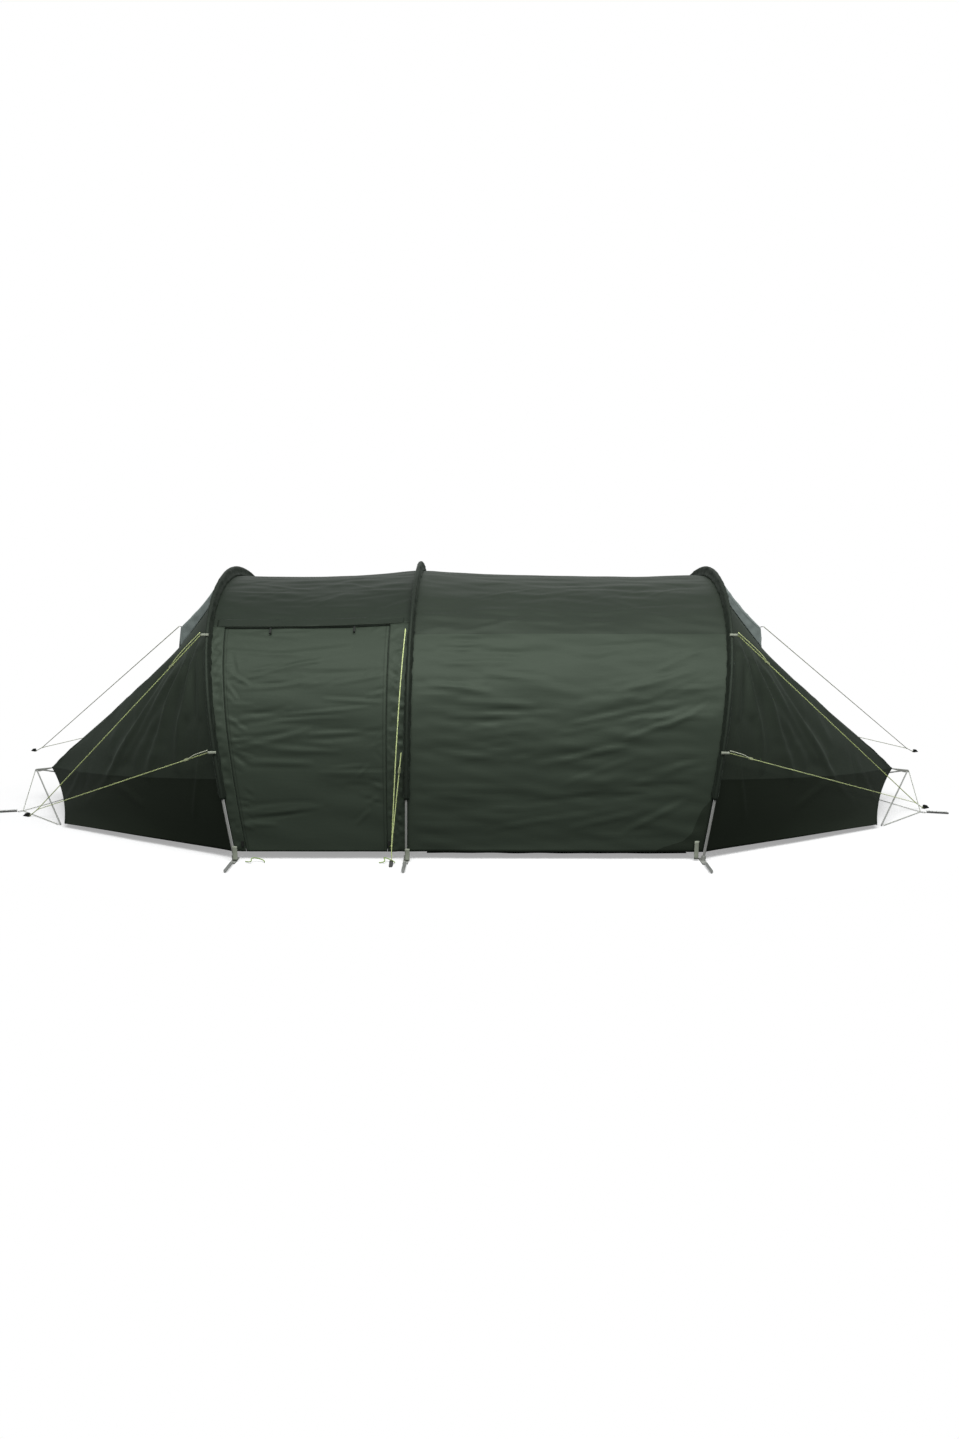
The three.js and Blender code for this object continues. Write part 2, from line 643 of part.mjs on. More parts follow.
for (const [place, side] of [["left", -1], ["right", 1]]) {
  const apex = new THREE.Vector3(side * APEX_X, 0, APEX_HEIGHT);
  const tab = new THREE.Shape();
  const inner = side * (TIP_X + SEAM_GAP);
  const outer = side * (APEX_X + APEX_TAB.thickness);
  const drop = TIP_HEIGHT - FABRIC;
  tab.moveTo(inner, drop);
  tab.lineTo(outer, APEX_HEIGHT + APEX_TAB.thickness / 2);
  tab.lineTo(outer, APEX_HEIGHT - APEX_TAB.thickness / 2);
  tab.lineTo(side * (APEX_X - APEX_TAB.thickness), APEX_HEIGHT - APEX_TAB.thickness / 2);
  tab.lineTo(inner, drop - 3);
  tab.closePath();
  const strip = new THREE.ExtrudeGeometry(tab, { depth: APEX_TAB.width, bevelEnabled: false });
  strip.rotateX(Math.PI / 2).translate(0, APEX_TAB.width / 2, 0);
  add(`apex_tab_${place}`, "webbing", strip);

  const strutGap = APEX_TAB.width / 2 + STRUT_DIAMETER / 2 + SEAM_GAP;
  for (const [sideName, ySide] of [["near", -1], ["far", 1]]) {
    const foot = new THREE.Vector3(side * STRUT_FOOT_X, ySide * STRUT_FOOT_Y, STRUT_FOOT_HEIGHT);
    const head = apex.clone().add(new THREE.Vector3(0, ySide * strutGap, 0));
    add(`end_strut_${place}_${sideName}`, "strut", bar([foot, head], STRUT_DIAMETER));
  }

  const ringCentre = new THREE.Vector3(side * RING_X, RING_Y, RING_WIRE);
  const ring = new THREE.TorusGeometry(RING_RADIUS, RING_WIRE, 6, 14);
  add(`end_ring_${place}`, "ring", ring).position.copy(ringCentre);

  const knot = ringCentre.clone();
  knot.x -= side * (RING_RADIUS + RING_WIRE + CORD_DIAMETER + SEAM_GAP);
  knot.z = CORD_DIAMETER + SEAM_GAP;
  const legs = [-1, 1].map((ySide) => {
    const clear = STRUT_DIAMETER;
    const foot = new THREE.Vector3(side * (STRUT_FOOT_X + clear), ySide * STRUT_FOOT_Y, knot.z);
    return bar([towards(foot, knot, clear), knot], CORD_DIAMETER);
  });
  const apexLeg = bar(
    [new THREE.Vector3(outer + side * (SEAM_GAP + CORD_DIAMETER / 2), 0, APEX_HEIGHT), knot],
    CORD_DIAMETER,
  );
  const knotBall = new THREE.SphereGeometry(CORD_DIAMETER, 8, 5);
  knotBall.translate(knot.x, knot.y, knot.z);
  add(`end_bridle_${place}`, "bridle_cord", joined(knotBall, ...legs, apexLeg));

  const peg = add(`end_peg_${place}`, "peg", pegGeometry());
  peg.position.set(side * (RING_X + RING_RADIUS + RING_WIRE + SEAM_GAP), RING_Y - 4, 0);
  peg.rotation.z = side < 0 ? Math.PI / 2 + 0.2 : -Math.PI / 2 - 0.2;
}

// ---- Guy lines, their pegs and tensioners ----------------------------------------------------

function guyPegGeometry() {
  const { length, width, height, lip } = GUY_PEG;
  const wedge = new THREE.Shape();
  wedge.moveTo(0, 0);
  wedge.lineTo(length, 0);
  wedge.lineTo(length * 0.45, height);
  wedge.lineTo(lip, height);
  wedge.lineTo(lip, height * 0.55);
  wedge.lineTo(0, height * 0.4);
  wedge.closePath();
  const solid = new THREE.ExtrudeGeometry(wedge, { depth: width, bevelEnabled: false });
  return solid.rotateX(Math.PI / 2).translate(0, width / 2, 0);
}

// A guy: an upper and a lower line that meet just before the peg. Each line is a list of points
// from its hoop to where they meet.
function guy(name, upper, lower, join, peg) {
  const cordRadius = CORD_DIAMETER / 2;
  const away = new THREE.Vector3(peg.x - join.x, peg.y - join.y, 0).normalize();
  const end = peg.clone().addScaledVector(away, -SEAM_GAP - cordRadius);
  end.z = GUY_PEG.height * 0.3;
  const knot = new THREE.SphereGeometry(CORD_DIAMETER * 1.15, 8, 6).translate(join.x, join.y, join.z);
  const lines = [upper, lower].map((line) => bar([...line, join], CORD_DIAMETER));
  add(`guy_line_${name}`, "guy_cord", joined(knot, ...lines, bar([join, end], CORD_DIAMETER)));
  const anchor = add(`guy_peg_${name}`, "plastic", guyPegGeometry());
  anchor.position.copy(peg);
  anchor.rotation.z = Math.atan2(away.y, away.x);
}

function tensioner(name, line, distance) {
  const { length, width, thickness, bore } = TENSIONER;
  const body = new THREE.Shape();
  body.moveTo(-width / 2, -thickness / 2);
  body.lineTo(width / 2, -thickness / 2);
  body.lineTo(width / 2, thickness / 2);
  body.lineTo(-width / 2, thickness / 2);
  body.closePath();
  body.holes.push(circle(bore / 2, 10));
  const solid = new THREE.ExtrudeGeometry(body, { depth: length, bevelEnabled: false });
  const mesh = add(`tensioner_${name}`, "plastic", solid);
  mesh.position.copy(towards(line[0], line[1], distance));
  const along = new THREE.Vector3().subVectors(line[1], line[0]).normalize();
  mesh.quaternion.setFromUnitVectors(new THREE.Vector3(0, 0, 1), along);
}

// Where a line leaves a hoop: clear of the sleeve, on the side that the line pulls to.
function guyStart(hoop, z, side, xSide) {
  const start = hoopEdge(hoop, z, side, GUY_STANDOFF * 0.5);
  start.x += xSide * (SLEEVE_BASE_WIDTH / 2 + GUY_STANDOFF * 0.5);
  return start;
}

function joinPoint(a, b, peg) {
  const middle = mix(a, b, 0.4);
  const join = towards(peg, middle, GUY_JOIN);
  join.z += GUY_PEG.height * 0.3;
  return join;
}

for (const [place, side] of [["left", -1], ["right", 1]]) {
  const hoop = HOOPS[place];
  const [nearX, nearY] = side < 0 ? NEAR_LEFT_PEG : NEAR_RIGHT_PEG;
  const nearPeg = new THREE.Vector3(nearX, nearY, 0);
  const upper = guyStart(hoop, hoop.height - UPPER_GUY_BELOW_TOP, -1, side);
  const lower = guyStart(hoop, LOWER_GUY_HEIGHT, -1, side);
  const nearJoin = joinPoint(upper, lower, nearPeg);
  guy(`${place}_near`, [upper], [lower], nearJoin, nearPeg);
  tensioner(`${place}_upper`, [upper, nearJoin], UPPER_TENSIONER_AT);
  tensioner(`${place}_lower`, [lower, nearJoin], LOWER_TENSIONER_AT);

  const farPeg = new THREE.Vector3(side * FAR_PEG[0], FAR_PEG[1], 0);
  const hoodTip = new THREE.Vector3(side * (HOOD_TIP_X + CORD_DIAMETER + SEAM_GAP), 0, hoodTipHeight);
  const farLower = guyStart(hoop, LOWER_GUY_HEIGHT, 1, side);
  guy(`${place}_far`, [hoodTip], [farLower], joinPoint(hoodTip, farLower, farPeg), farPeg);
}

// The middle hoop's guys: the upper line follows the wall down, the lower one is straight.
for (const [sideName, side] of [["near", -1], ["far", 1]]) {
  const hoop = HOOPS.middle;
  const startX = (z) => leanX(hoop, z) - SLEEVE_BASE_WIDTH / 2 - GUY_STANDOFF * 0.5;
  const peg = new THREE.Vector3(MIDDLE_PEG_X, side * (HALF_WIDTH + MIDDLE_PEG_OUT), 0);
  const joinZ = GUY_JOIN;
  const route = (fromZ, count) => {
    const points = [];
    for (let i = 0; i < count; i++) {
      const share = i / count;
      const z = fromZ + (joinZ - fromZ) * share;
      const x = startX(fromZ) + (MIDDLE_PEG_X - startX(fromZ)) * share;
      points.push(new THREE.Vector3(x, side * (halfWidthAt(hoop, z, 0, 0) + GUY_STANDOFF * 0.2), z));
    }
    return points;
  };
  const upper = route(hoop.height - UPPER_GUY_BELOW_TOP, 9);
  const lower = [route(LOWER_GUY_HEIGHT, 1)[0]];
  const join = new THREE.Vector3(MIDDLE_PEG_X, side * (HALF_WIDTH + GUY_STANDOFF * 0.5), joinZ);
  guy(`middle_${sideName}`, upper, lower, join, peg);
  if (side < 0) tensioner("middle_lower", [lower[0], join], MIDDLE_TENSIONER_AT);
}

// ---- Zip sliders and door toggles ------------------------------------------------------------

// Each slider sits on the fly beside the door's edge, so that the door can pass it.
for (const [place, along, side] of [["left", DOOR_FROM, -1], ["right", DOOR_TO, 1]]) {
  const offset = (SLIDER.width / 2 + DOOR_GAP / 2) / porchLength;
  const onFly = along + side * offset;
  const low = porch(onFly, aroundAt(porch, onFly, SLIDER_HEIGHT));
  const high = porch(onFly, aroundAt(porch, onFly, SLIDER_HEIGHT + SLIDER_TRAVEL));
  const slider = new THREE.BoxGeometry(SLIDER.width, SLIDER.thickness, SLIDER.length);
  const mesh = add(`zip_slider_${place}`, "plastic", slider);
  mesh.position.copy(low);
  mesh.position.y -= SLIDER.gap + SLIDER.thickness / 2;
  const up = new THREE.Vector3().subVectors(high, low).normalize();
  mesh.quaternion.setFromUnitVectors(new THREE.Vector3(0, 0, 1), up);
}

TOGGLE_AT.forEach((along, i) => {
  const hinge = porch(along, doorTop);
  const below = porch(along, doorTop - TOGGLE.below / wallLength);
  const down = new THREE.Vector3().subVectors(below, hinge).normalize();
  const out = new THREE.Vector3(0, down.z, -down.y).normalize();
  const stick = new THREE.CylinderGeometry(TOGGLE.diameter / 2, TOGGLE.diameter / 2, TOGGLE.length, 8);
  const mesh = add(i === 0 ? "door_toggle_left" : "door_toggle_right", "plastic", stick);
  mesh.position.copy(below).addScaledVector(out, TOGGLE.standoff);
  mesh.quaternion.setFromUnitVectors(new THREE.Vector3(0, -1, 0), down);
});

// ---- Inner tent and groundsheet --------------------------------------------------------------

function innerOutline(inset, fromHeight) {
  const frame = END_HEIGHT < MIDDLE_HEIGHT ? HOOPS.right : HOOPS.middle;
  const line = arch(frame, inset, inset + FLY_TOP_INSET, Math.max(fromHeight, 1), 20);
  const outline = new THREE.Shape();
  line.forEach((point, i) => {
    if (i === 0) outline.moveTo(point.y, fromHeight - GROUNDSHEET);
    outline.lineTo(point.y, point.z);
    if (i === line.length - 1) outline.lineTo(point.y, fromHeight - GROUNDSHEET);
  });
  outline.closePath();
  return outline;
}

// Extrudes an outline drawn in Y and Z from one X to another.
function alongX(outline, fromX, toX) {
  const solid = new THREE.ExtrudeGeometry(outline, { depth: toX - fromX, bevelEnabled: false });
  const turn = new THREE.Matrix4().makeBasis(
    new THREE.Vector3(0, 1, 0),
    new THREE.Vector3(0, 0, 1),
    new THREE.Vector3(1, 0, 0),
  );
  return solid.applyMatrix4(turn).translate(fromX, 0, 0);
}

const innerBase = GROUNDSHEET + SEAM_GAP;
const innerShell = alongX(innerOutline(INNER_INSET, innerBase + GROUNDSHEET), INNER_FROM_X, INNER_TO_X);
const innerRoom = alongX(
  innerOutline(INNER_INSET + INNER_WALL, innerBase),
  INNER_FROM_X + INNER_WALL,
  INNER_TO_X - INNER_WALL,
);
const doorwayWidth = 2 * DOORWAY.halfWidth;
const doorwayTool = new THREE.BoxGeometry(6 * INNER_WALL, doorwayWidth, DOORWAY.height - DOORWAY.sill);
doorwayTool.translate(INNER_FROM_X, 0, (DOORWAY.height + DOORWAY.sill) / 2);
add("inner_tent", "inner", cut(innerShell, innerRoom, doorwayTool));

const groundWidth = 2 * (HALF_WIDTH - INNER_INSET);
const ground = new THREE.BoxGeometry(INNER_TO_X - INNER_FROM_X, groundWidth, GROUNDSHEET);
ground.translate((INNER_FROM_X + INNER_TO_X) / 2, 0, GROUNDSHEET / 2);
add("groundsheet", "groundsheet", ground);

export default tent;
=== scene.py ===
"""Looks for a tunnel tent on three arched poles, in metres, in the frame of its CAD model.

+X runs along the tunnel towards the sleeping end, -Y is the near side with the door, +Z is up.
"""

import math

import bpy
import numpy as np
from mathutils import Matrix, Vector


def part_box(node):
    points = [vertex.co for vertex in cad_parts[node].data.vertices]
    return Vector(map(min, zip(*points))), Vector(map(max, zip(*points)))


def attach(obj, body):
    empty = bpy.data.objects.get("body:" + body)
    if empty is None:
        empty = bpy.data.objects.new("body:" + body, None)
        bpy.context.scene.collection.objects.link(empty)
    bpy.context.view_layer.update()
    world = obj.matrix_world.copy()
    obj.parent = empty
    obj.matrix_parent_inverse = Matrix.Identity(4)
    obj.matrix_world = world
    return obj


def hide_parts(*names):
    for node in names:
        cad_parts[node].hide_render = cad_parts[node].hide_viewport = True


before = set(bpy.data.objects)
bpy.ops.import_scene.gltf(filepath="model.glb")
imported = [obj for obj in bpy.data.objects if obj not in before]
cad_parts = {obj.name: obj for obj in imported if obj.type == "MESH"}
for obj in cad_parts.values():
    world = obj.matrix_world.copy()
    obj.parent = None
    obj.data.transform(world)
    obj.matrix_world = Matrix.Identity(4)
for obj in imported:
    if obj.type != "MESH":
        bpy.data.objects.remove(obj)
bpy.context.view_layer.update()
scene = bpy.context.scene
scene.view_settings.view_transform = "Standard"

ROOT = "tent"
DOOR = "side_door"

# ---- Camera ----

CAMERA_TILT = 0.1929  # radians below level
CAMERA_TURN = 0.004  # radians about the vertical

camera = bpy.data.objects.new("camera", bpy.data.cameras.new("camera"))
camera.location = (0.058, -4.191, 1.245)
camera.rotation_euler = (math.pi / 2 - CAMERA_TILT, 0.0, CAMERA_TURN)
camera.data.sensor_width = 36.0
camera.data.lens = 21.58
camera.data.clip_end = 100.0
scene.collection.objects.link(camera)
scene.camera = camera

# ---- The tent's own sizes ----

# A hoop's arch follows powers of sine and cosine, as it does in the CAD.
SIDE_POWER = 1.9
TOP_POWER = 3.1
POLE_RADIUS = 0.00475
POLE_DEPTH = 0.011  # from the hoop's outer line in to the pole's centre
FOOT_INSET = POLE_RADIUS * 0.8  # from the pole's box in to its line's foot
MIDDLE_LEAN = 0.018  # how far the middle hoop's top leans

SIDE_INSET = 0.026  # from the hoop's outer line in to the fly
TOP_INSET = 0.048
HEM = 0.035  # the fly's lower edge above the ground
SLEEVE_START = 0.26  # the sleeves' lower ends above the ground
ROOF_SAG = 0.016  # how far the fly sags and pulls in between its hoops
WALL_WAIST = 0.012
ROOF_SEAM = 0.904  # height of the seam below the sleeping section's roof
GIRTH = 2.86  # the fly's length over the tunnel, from hem to hem
PORCH_LENGTH = 0.77
PUCKER_U, PUCKER_V = 0.05, 0.035  # size of the puckers beside the door's zips

# The door's edges, its gap and the fly's gaps, as shares of the way from hoop to hoop.
DOOR_FROM = 0.07
DOOR_TO = 0.892
DOOR_GAP = 0.0015 / 0.7
SLEEPING_GAP = 0.00125
PORCH_GAP = 0.00225

DOOR_HEIGHT = 0.930  # the door's top above the ground

CLOTH = 0.0012  # how thick a sheet is shown
TUBE_SIDES = 8
WRINKLE_SHARE = 0.85  # how much of the drawn folds' depth is used
CORD_SWELL = 0.0006
STRAND_RADIUS = 0.0017
TIE_RADIUS = 0.0021


class Hoop:
    """An arched pole's outer line, read from the CAD pole and its foot strap."""

    def __init__(self, place, lean):
        low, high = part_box("pole_" + place)
        strap_low, strap_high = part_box(f"foot_strap_{place}_near")
        foot_x = {-1: high.x, 0: (strap_low.x + strap_high.x) / 2, 1: low.x}[lean]
        self.foot_x = foot_x + lean * FOOT_INSET
        self.height = high.z + POLE_DEPTH - POLE_RADIUS
        self.half = high.y + POLE_DEPTH - POLE_RADIUS
        if lean == 0:
            self.top_x = self.foot_x + MIDDLE_LEAN
        else:
            pole_top_x = (low.x if lean < 0 else high.x) - lean * POLE_RADIUS
            share = self.height / (self.height - POLE_DEPTH)
            self.top_x = self.foot_x + (pole_top_x - self.foot_x) * share

    def lean_x(self, z):
        """The hoop's place along the tunnel at a height."""
        return self.foot_x + (self.top_x - self.foot_x) * z / self.height

    def half_at(self, z, side_inset=0.0, top_inset=0.0):
        """Half the hoop's width at a height."""
        sine = np.minimum(z / (self.height - top_inset), 1.0) ** (TOP_POWER / 2)
        cosine = np.sqrt(np.maximum(0.0, 1 - sine * sine))
        return (self.half - side_inset) * cosine ** (2 / SIDE_POWER)

    def arch(self, side_inset, top_inset, from_z, shares):
        """Points at shares of the way round, from the near side over the top, evenly by length."""
        top = self.height - top_inset
        start = math.asin((from_z / top) ** (TOP_POWER / 2))
        angle = np.linspace(start, math.pi - start, 2401)
        z = top * np.sin(angle) ** (2 / TOP_POWER)
        cosine = np.cos(angle)
        y = -(self.half - side_inset) * np.sign(cosine) * np.abs(cosine) ** (2 / SIDE_POWER)
        line = np.stack([self.lean_x(z), y, z], 1)
        return resample(line, shares)


def resample(line, shares):
    """Points on a line at shares of its length."""
    lengths = np.concatenate([[0], np.cumsum(np.linalg.norm(np.diff(line, axis=0), axis=1))])
    wanted = np.asarray(shares) * lengths[-1]
    return np.stack([np.interp(wanted, lengths, line[:, k]) for k in range(3)], 1)


HOOPS = {"left": Hoop("left", -1), "middle": Hoop("middle", 0), "right": Hoop("right", 1)}

# ---- Noise and creases ----


def waves(u, v, seed, long_u, long_v, count=14):
    """Smooth noise about 1 high whose waves are about long_u and long_v long."""
    rng = np.random.default_rng(seed)
    total = np.zeros(np.broadcast(u, v).shape)
    for _ in range(count):
        ku = 2 * math.pi / long_u * rng.normal(0, 0.8)
        kv = 2 * math.pi / long_v * rng.uniform(0.35, 1.3)
        total += np.sin(ku * u + kv * v + rng.uniform(0, 2 * math.pi))
    return total / math.sqrt(count / 2)


def crease(u, v, start, end, width, depth):
    """One fold from start to end, which fades at its ends."""
    a = np.array(start, float)
    d = np.array(end, float) - a
    length = np.hypot(*d)
    along = ((u - a[0]) * d[0] + (v - a[1]) * d[1]) / (length * length)
    across = ((u - a[0]) * -d[1] + (v - a[1]) * d[0]) / length
    taper = np.clip(along, 0, 1) * np.clip(1 - along, 0, 1) * 4
    side = across / width
    return depth * np.sqrt(taper) * (np.exp(-side * side) - 0.45 * np.exp(-((side - 1.6) ** 2)))


def creases(u, v, seed, count, u_range, v_range, length, tilt, width, depth, curve=0.0):
    """Many short folds with their middles spread over a region."""
    rng = np.random.default_rng(seed)
    total = np.zeros(np.broadcast(u, v).shape)
    for _ in range(count):
        cu = rng.uniform(*u_range)
        cv = rng.uniform(*v_range)
        half = rng.uniform(*length) / 2
        angle = rng.normal(*tilt)
        du, dv = half * math.cos(angle), half * math.sin(angle)
        bend = curve * rng.normal()
        size = rng.uniform(0.4, 1.0) * depth * rng.choice([1, 1, -0.7])
        bent = v + bend * (u - cu) ** 2
        total += crease(u, bent, (cu - du, cv - dv), (cu + du, cv + dv), rng.uniform(*width), size)
    return total


# ---- Mesh making ----


def mesh_object(name, points, faces, material, body=ROOT):
    """A smooth-shaded mesh that rides on a body of the CAD."""
    mesh = bpy.data.meshes.new(name)
    mesh.from_pydata([tuple(p) for p in points], [], [tuple(f) for f in faces])
    mesh.update()
    mesh.polygons.foreach_set("use_smooth", [True] * len(mesh.polygons))
    mesh.materials.append(material)
    made = bpy.data.objects.new(name, mesh)
    scene.collection.objects.link(made)
    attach(made, body)
    return made


def grid_faces(rows, columns, around=False):
    """Four-sided faces over a grid of points, which closes on itself when it goes around."""
    faces = []
    for r in range(rows - 1):
        for c in range(columns if around else columns - 1):
            d = (c + 1) % columns
            here, below = r * columns, (r + 1) * columns
            faces.append((here + c, below + c, below + d, here + d))
    return faces


def add_uv(made, u, v):
    layer = made.data.uv_layers.new(name="cloth")
    index = np.zeros(len(made.data.loops), np.int64)
    made.data.loops.foreach_get("vertex_index", index)
    flat = np.stack([u.ravel()[index], v.ravel()[index]], 1)
    layer.data.foreach_set("uv", flat.astype(np.float32).ravel())


def add_value(made, name, values):
    attribute = made.data.attributes.new(name, "FLOAT", "POINT")
    attribute.data.foreach_set("value", np.asarray(values, np.float32).ravel())


def normals_of(grid):
    """The unit normal at each point of a grid."""
    along = np.gradient(grid, axis=0)
    around = np.gradient(grid, axis=1)
    out = np.cross(along, around)
    return out / np.maximum(np.linalg.norm(out, axis=2, keepdims=True), 1e-12)


def cloth_sheet(name, grid, uv, material, body=ROOT, thick=CLOTH, flip=False, **values):
    """A thin sheet over a grid of points, with its cloth coordinates and shading values."""
    rows, columns = grid.shape[:2]
    faces = grid_faces(rows, columns)
    if flip:
        faces = [f[::-1] for f in faces]
    made = mesh_object(name, grid.reshape(-1, 3), faces, material, body=body)
    add_uv(made, *uv)
    for key, value in values.items():
        add_value(made, key, value)
    shell = made.modifiers.new("thickness", "SOLIDIFY")
    shell.thickness = thick
    shell.offset = -1.0
    return made


def nowhere(grid):
    """A shading value that marks no part of a sheet."""
    return np.full(grid.shape[:2], -1.0)


def tube(name, line, material, half_side, half_rise):
    """A closed tube along a line of points: a cord, or a flat strap where its half sizes differ."""
    line = np.asarray(line, float)
    tangent = np.gradient(line, axis=0)
    tangent /= np.linalg.norm(tangent, axis=1, keepdims=True)
    guide = np.array([0.0, 0.0, 1.0]) if abs(tangent[0][2]) < 0.9 else np.array([1.0, 0.0, 0.0])
    rings = []
    for point, direction in zip(line, tangent):
        side = np.cross(direction, guide)
        side /= np.linalg.norm(side)
        guide = np.cross(side, direction)
        for k in range(TUBE_SIDES):
            angle = 2 * math.pi * (k + 0.5) / TUBE_SIDES
            rings.append(point + side * half_side * math.cos(angle) + guide * half_rise * math.sin(angle))
    faces = grid_faces(len(line), TUBE_SIDES, around=True)
    faces.append(tuple(range(TUBE_SIDES)))
    last = (len(line) - 1) * TUBE_SIDES
    faces.append(tuple(last + k for k in reversed(range(TUBE_SIDES))))
    return mesh_object(name, rings, faces, material)


# ---- Materials ----

THREAD = 0.0006  # from one thread of the weave to the next


def new_material(name, roughness=0.6, metallic=0.0):
    material = bpy.data.materials.new(name)
    material.use_nodes = True
    tree = material.node_tree
    shader = tree.nodes["Principled BSDF"]
    shader.inputs["Roughness"].default_value = roughness
    shader.inputs["Metallic"].default_value = metallic
    return material, tree, shader


def node(tree, kind, **values):
    made = tree.nodes.new(kind)
    for key, value in values.items():
        if key in made.inputs:
            made.inputs[key].default_value = value
        else:
            setattr(made, key, value)
    return made


def maths(tree, operation, a, b=None, clamp=False):
    made = tree.nodes.new("ShaderNodeMath")
    made.operation = operation
    made.use_clamp = clamp
    for socket, value in zip(made.inputs, (a, b)):
        if value is None:
            continue
        if isinstance(value, (int, float)):
            socket.default_value = value
        else:
            tree.links.new(value, socket)
    return made.outputs[0]


def mix_colour(tree, share, a, b, blend="MIX"):
    made = tree.nodes.new("ShaderNodeMix")
    made.data_type = "RGBA"
    made.blend_type = blend
    for socket, value in zip((made.inputs[0], made.inputs[6], made.inputs[7]), (share, a, b)):
        if isinstance(value, bpy.types.NodeSocket):
            tree.links.new(value, socket)
        elif isinstance(value, (int, float)):
            socket.default_value = value
        else:
            socket.default_value = (*value, 1.0)
    return made.outputs[2]


def noise(tree, place, **values):
    """A noise texture over a place."""
    made = node(tree, "ShaderNodeTexNoise", **values)
    tree.links.new(place, made.inputs["Vector"])
    return made.outputs[0]


def mapped(tree, place, **values):
    """A place stretched by Scale or turned by Rotation."""
    made = node(tree, "ShaderNodeMapping", **values)
    tree.links.new(place, made.inputs["Vector"])
    return made.outputs[0]


def relief(tree, height, strength, distance, normal=None):
    """A bump map over a height, on top of another where one is given."""
    made = node(tree, "ShaderNodeBump", Strength=strength, Distance=distance)
    tree.links.new(height, made.inputs["Height"])
    if normal is not None:
        tree.links.new(normal, made.inputs["Normal"])
    return made.outputs[0]


def mix_shader(tree, share, a, b):
    """Shader a where share is 0 and b where it is 1."""
    made = node(tree, "ShaderNodeMixShader")
    for socket, value in zip(made.inputs, (share, a, b)):
        tree.links.new(value, socket)
    return made.outputs[0]


def linear(r, g, b):
    """A colour written in the usual 0 to 255 scale, as the shader wants it."""
    out = []
    for channel in (r, g, b):
        c = channel / 255
        out.append(c / 12.92 if c <= 0.04045 else ((c + 0.055) / 1.055) ** 2.4)
    return tuple(out)


def attribute(tree, name):
    made = tree.nodes.new("ShaderNodeAttribute")
    made.attribute_name = name
    return made.outputs["Fac"]


def ripstop(name, colour, dark=None, roof=None, roughness=0.56, grid=0.005, bump=0.25, uses=()):
    """Coated ripstop nylon: a fine weave with a raised grid, slight mottling and soft creasing.

    Where the value "dark" is above zero the cloth is the second colour, where "roof" is above zero
    it is the third, and "stitch" near zero draws a sewn seam.
    """
    material, tree, shader = new_material(name, roughness)
    links = tree.links
    uv = node(tree, "ShaderNodeUVMap", uv_map="cloth").outputs[0]
    shader.inputs["Sheen Weight"].default_value = 0.05
    shader.inputs["Sheen Roughness"].default_value = 0.4
    shader.inputs["Sheen Tint"].default_value = (0.8, 1.0, 0.8, 1.0)
    shader.inputs["Specular IOR Level"].default_value = 0.30
    shader.inputs["Specular Tint"].default_value = (0.82, 1.0, 0.80, 1.0)

    mottle = noise(tree, uv, Scale=3.0, Detail=5.0, Roughness=0.6)
    fine = noise(tree, uv, Scale=420.0, Detail=2.0)
    base = colour
    if "dark" in uses:
        edge = maths(tree, "MULTIPLY_ADD", attribute(tree, "dark"), 900.0, clamp=True)
        edge.node.inputs[2].default_value = 0.5
        base = mix_colour(tree, edge, colour, dark)
    if "roof" in uses:
        over = maths(tree, "MULTIPLY_ADD", attribute(tree, "roof"), 500.0, clamp=True)
        over.node.inputs[2].default_value = 0.5
        base = mix_colour(tree, over, base, roof)
    share = maths(tree, "MULTIPLY", maths(tree, "SUBTRACT", mottle, 0.5), 1.1)
    share = maths(tree, "ADD", share, 0.5, clamp=True)
    low = mix_colour(tree, 1.0, base, (0.86, 0.86, 0.87), "MULTIPLY")
    high = mix_colour(tree, 1.0, base, (1.14, 1.14, 1.13), "MULTIPLY")
    tinted = mix_colour(tree, share, low, high)

    # The weave's threads and the ripstop grid, from the cloth's own metres.
    split = node(tree, "ShaderNodeSeparateXYZ")
    links.new(uv, split.inputs[0])
    height = None
    for axis in (0, 1):
        cell = maths(tree, "FRACT", maths(tree, "DIVIDE", split.outputs[axis], grid))
        line = maths(tree, "ABSOLUTE", maths(tree, "SUBTRACT", cell, 0.5))
        raised = maths(tree, "SUBTRACT", 1.0, maths(tree, "MULTIPLY", line, 9.0), clamp=True)
        turns = maths(tree, "MULTIPLY", split.outputs[axis], 2 * math.pi / THREAD)
        thread = maths(tree, "SINE", turns)
        one = maths(tree, "ADD", raised, maths(tree, "MULTIPLY", thread, 0.25))
        height = one if height is None else maths(tree, "ADD", height, one)
    if "stitch" in uses:
        near = maths(tree, "ABSOLUTE", attribute(tree, "stitch"))
        seam = maths(tree, "SUBTRACT", 1.0, maths(tree, "MULTIPLY", near, 260.0), clamp=True)
        thread_colour = tuple(c * 0.35 for c in colour)
        tinted = mix_colour(tree, maths(tree, "MULTIPLY", seam, 0.55), tinted, thread_colour)
        height = maths(tree, "ADD", height, maths(tree, "MULTIPLY", seam, 5.0))
    links.new(tinted, shader.inputs["Base Color"])

    rough = maths(tree, "ADD", maths(tree, "MULTIPLY", fine, 0.16), roughness - 0.08)
    links.new(rough, shader.inputs["Roughness"])

    weave = relief(tree, height, bump, 0.0002)
    stretched = mapped(tree, uv, Scale=(0.35, 1.6, 1.0))
    crumple = noise(tree, stretched, Scale=9.0, Detail=6.0, Roughness=0.55, Distortion=0.6)
    links.new(relief(tree, crumple, 0.28, 0.004, weave), shader.inputs["Normal"])
    return material


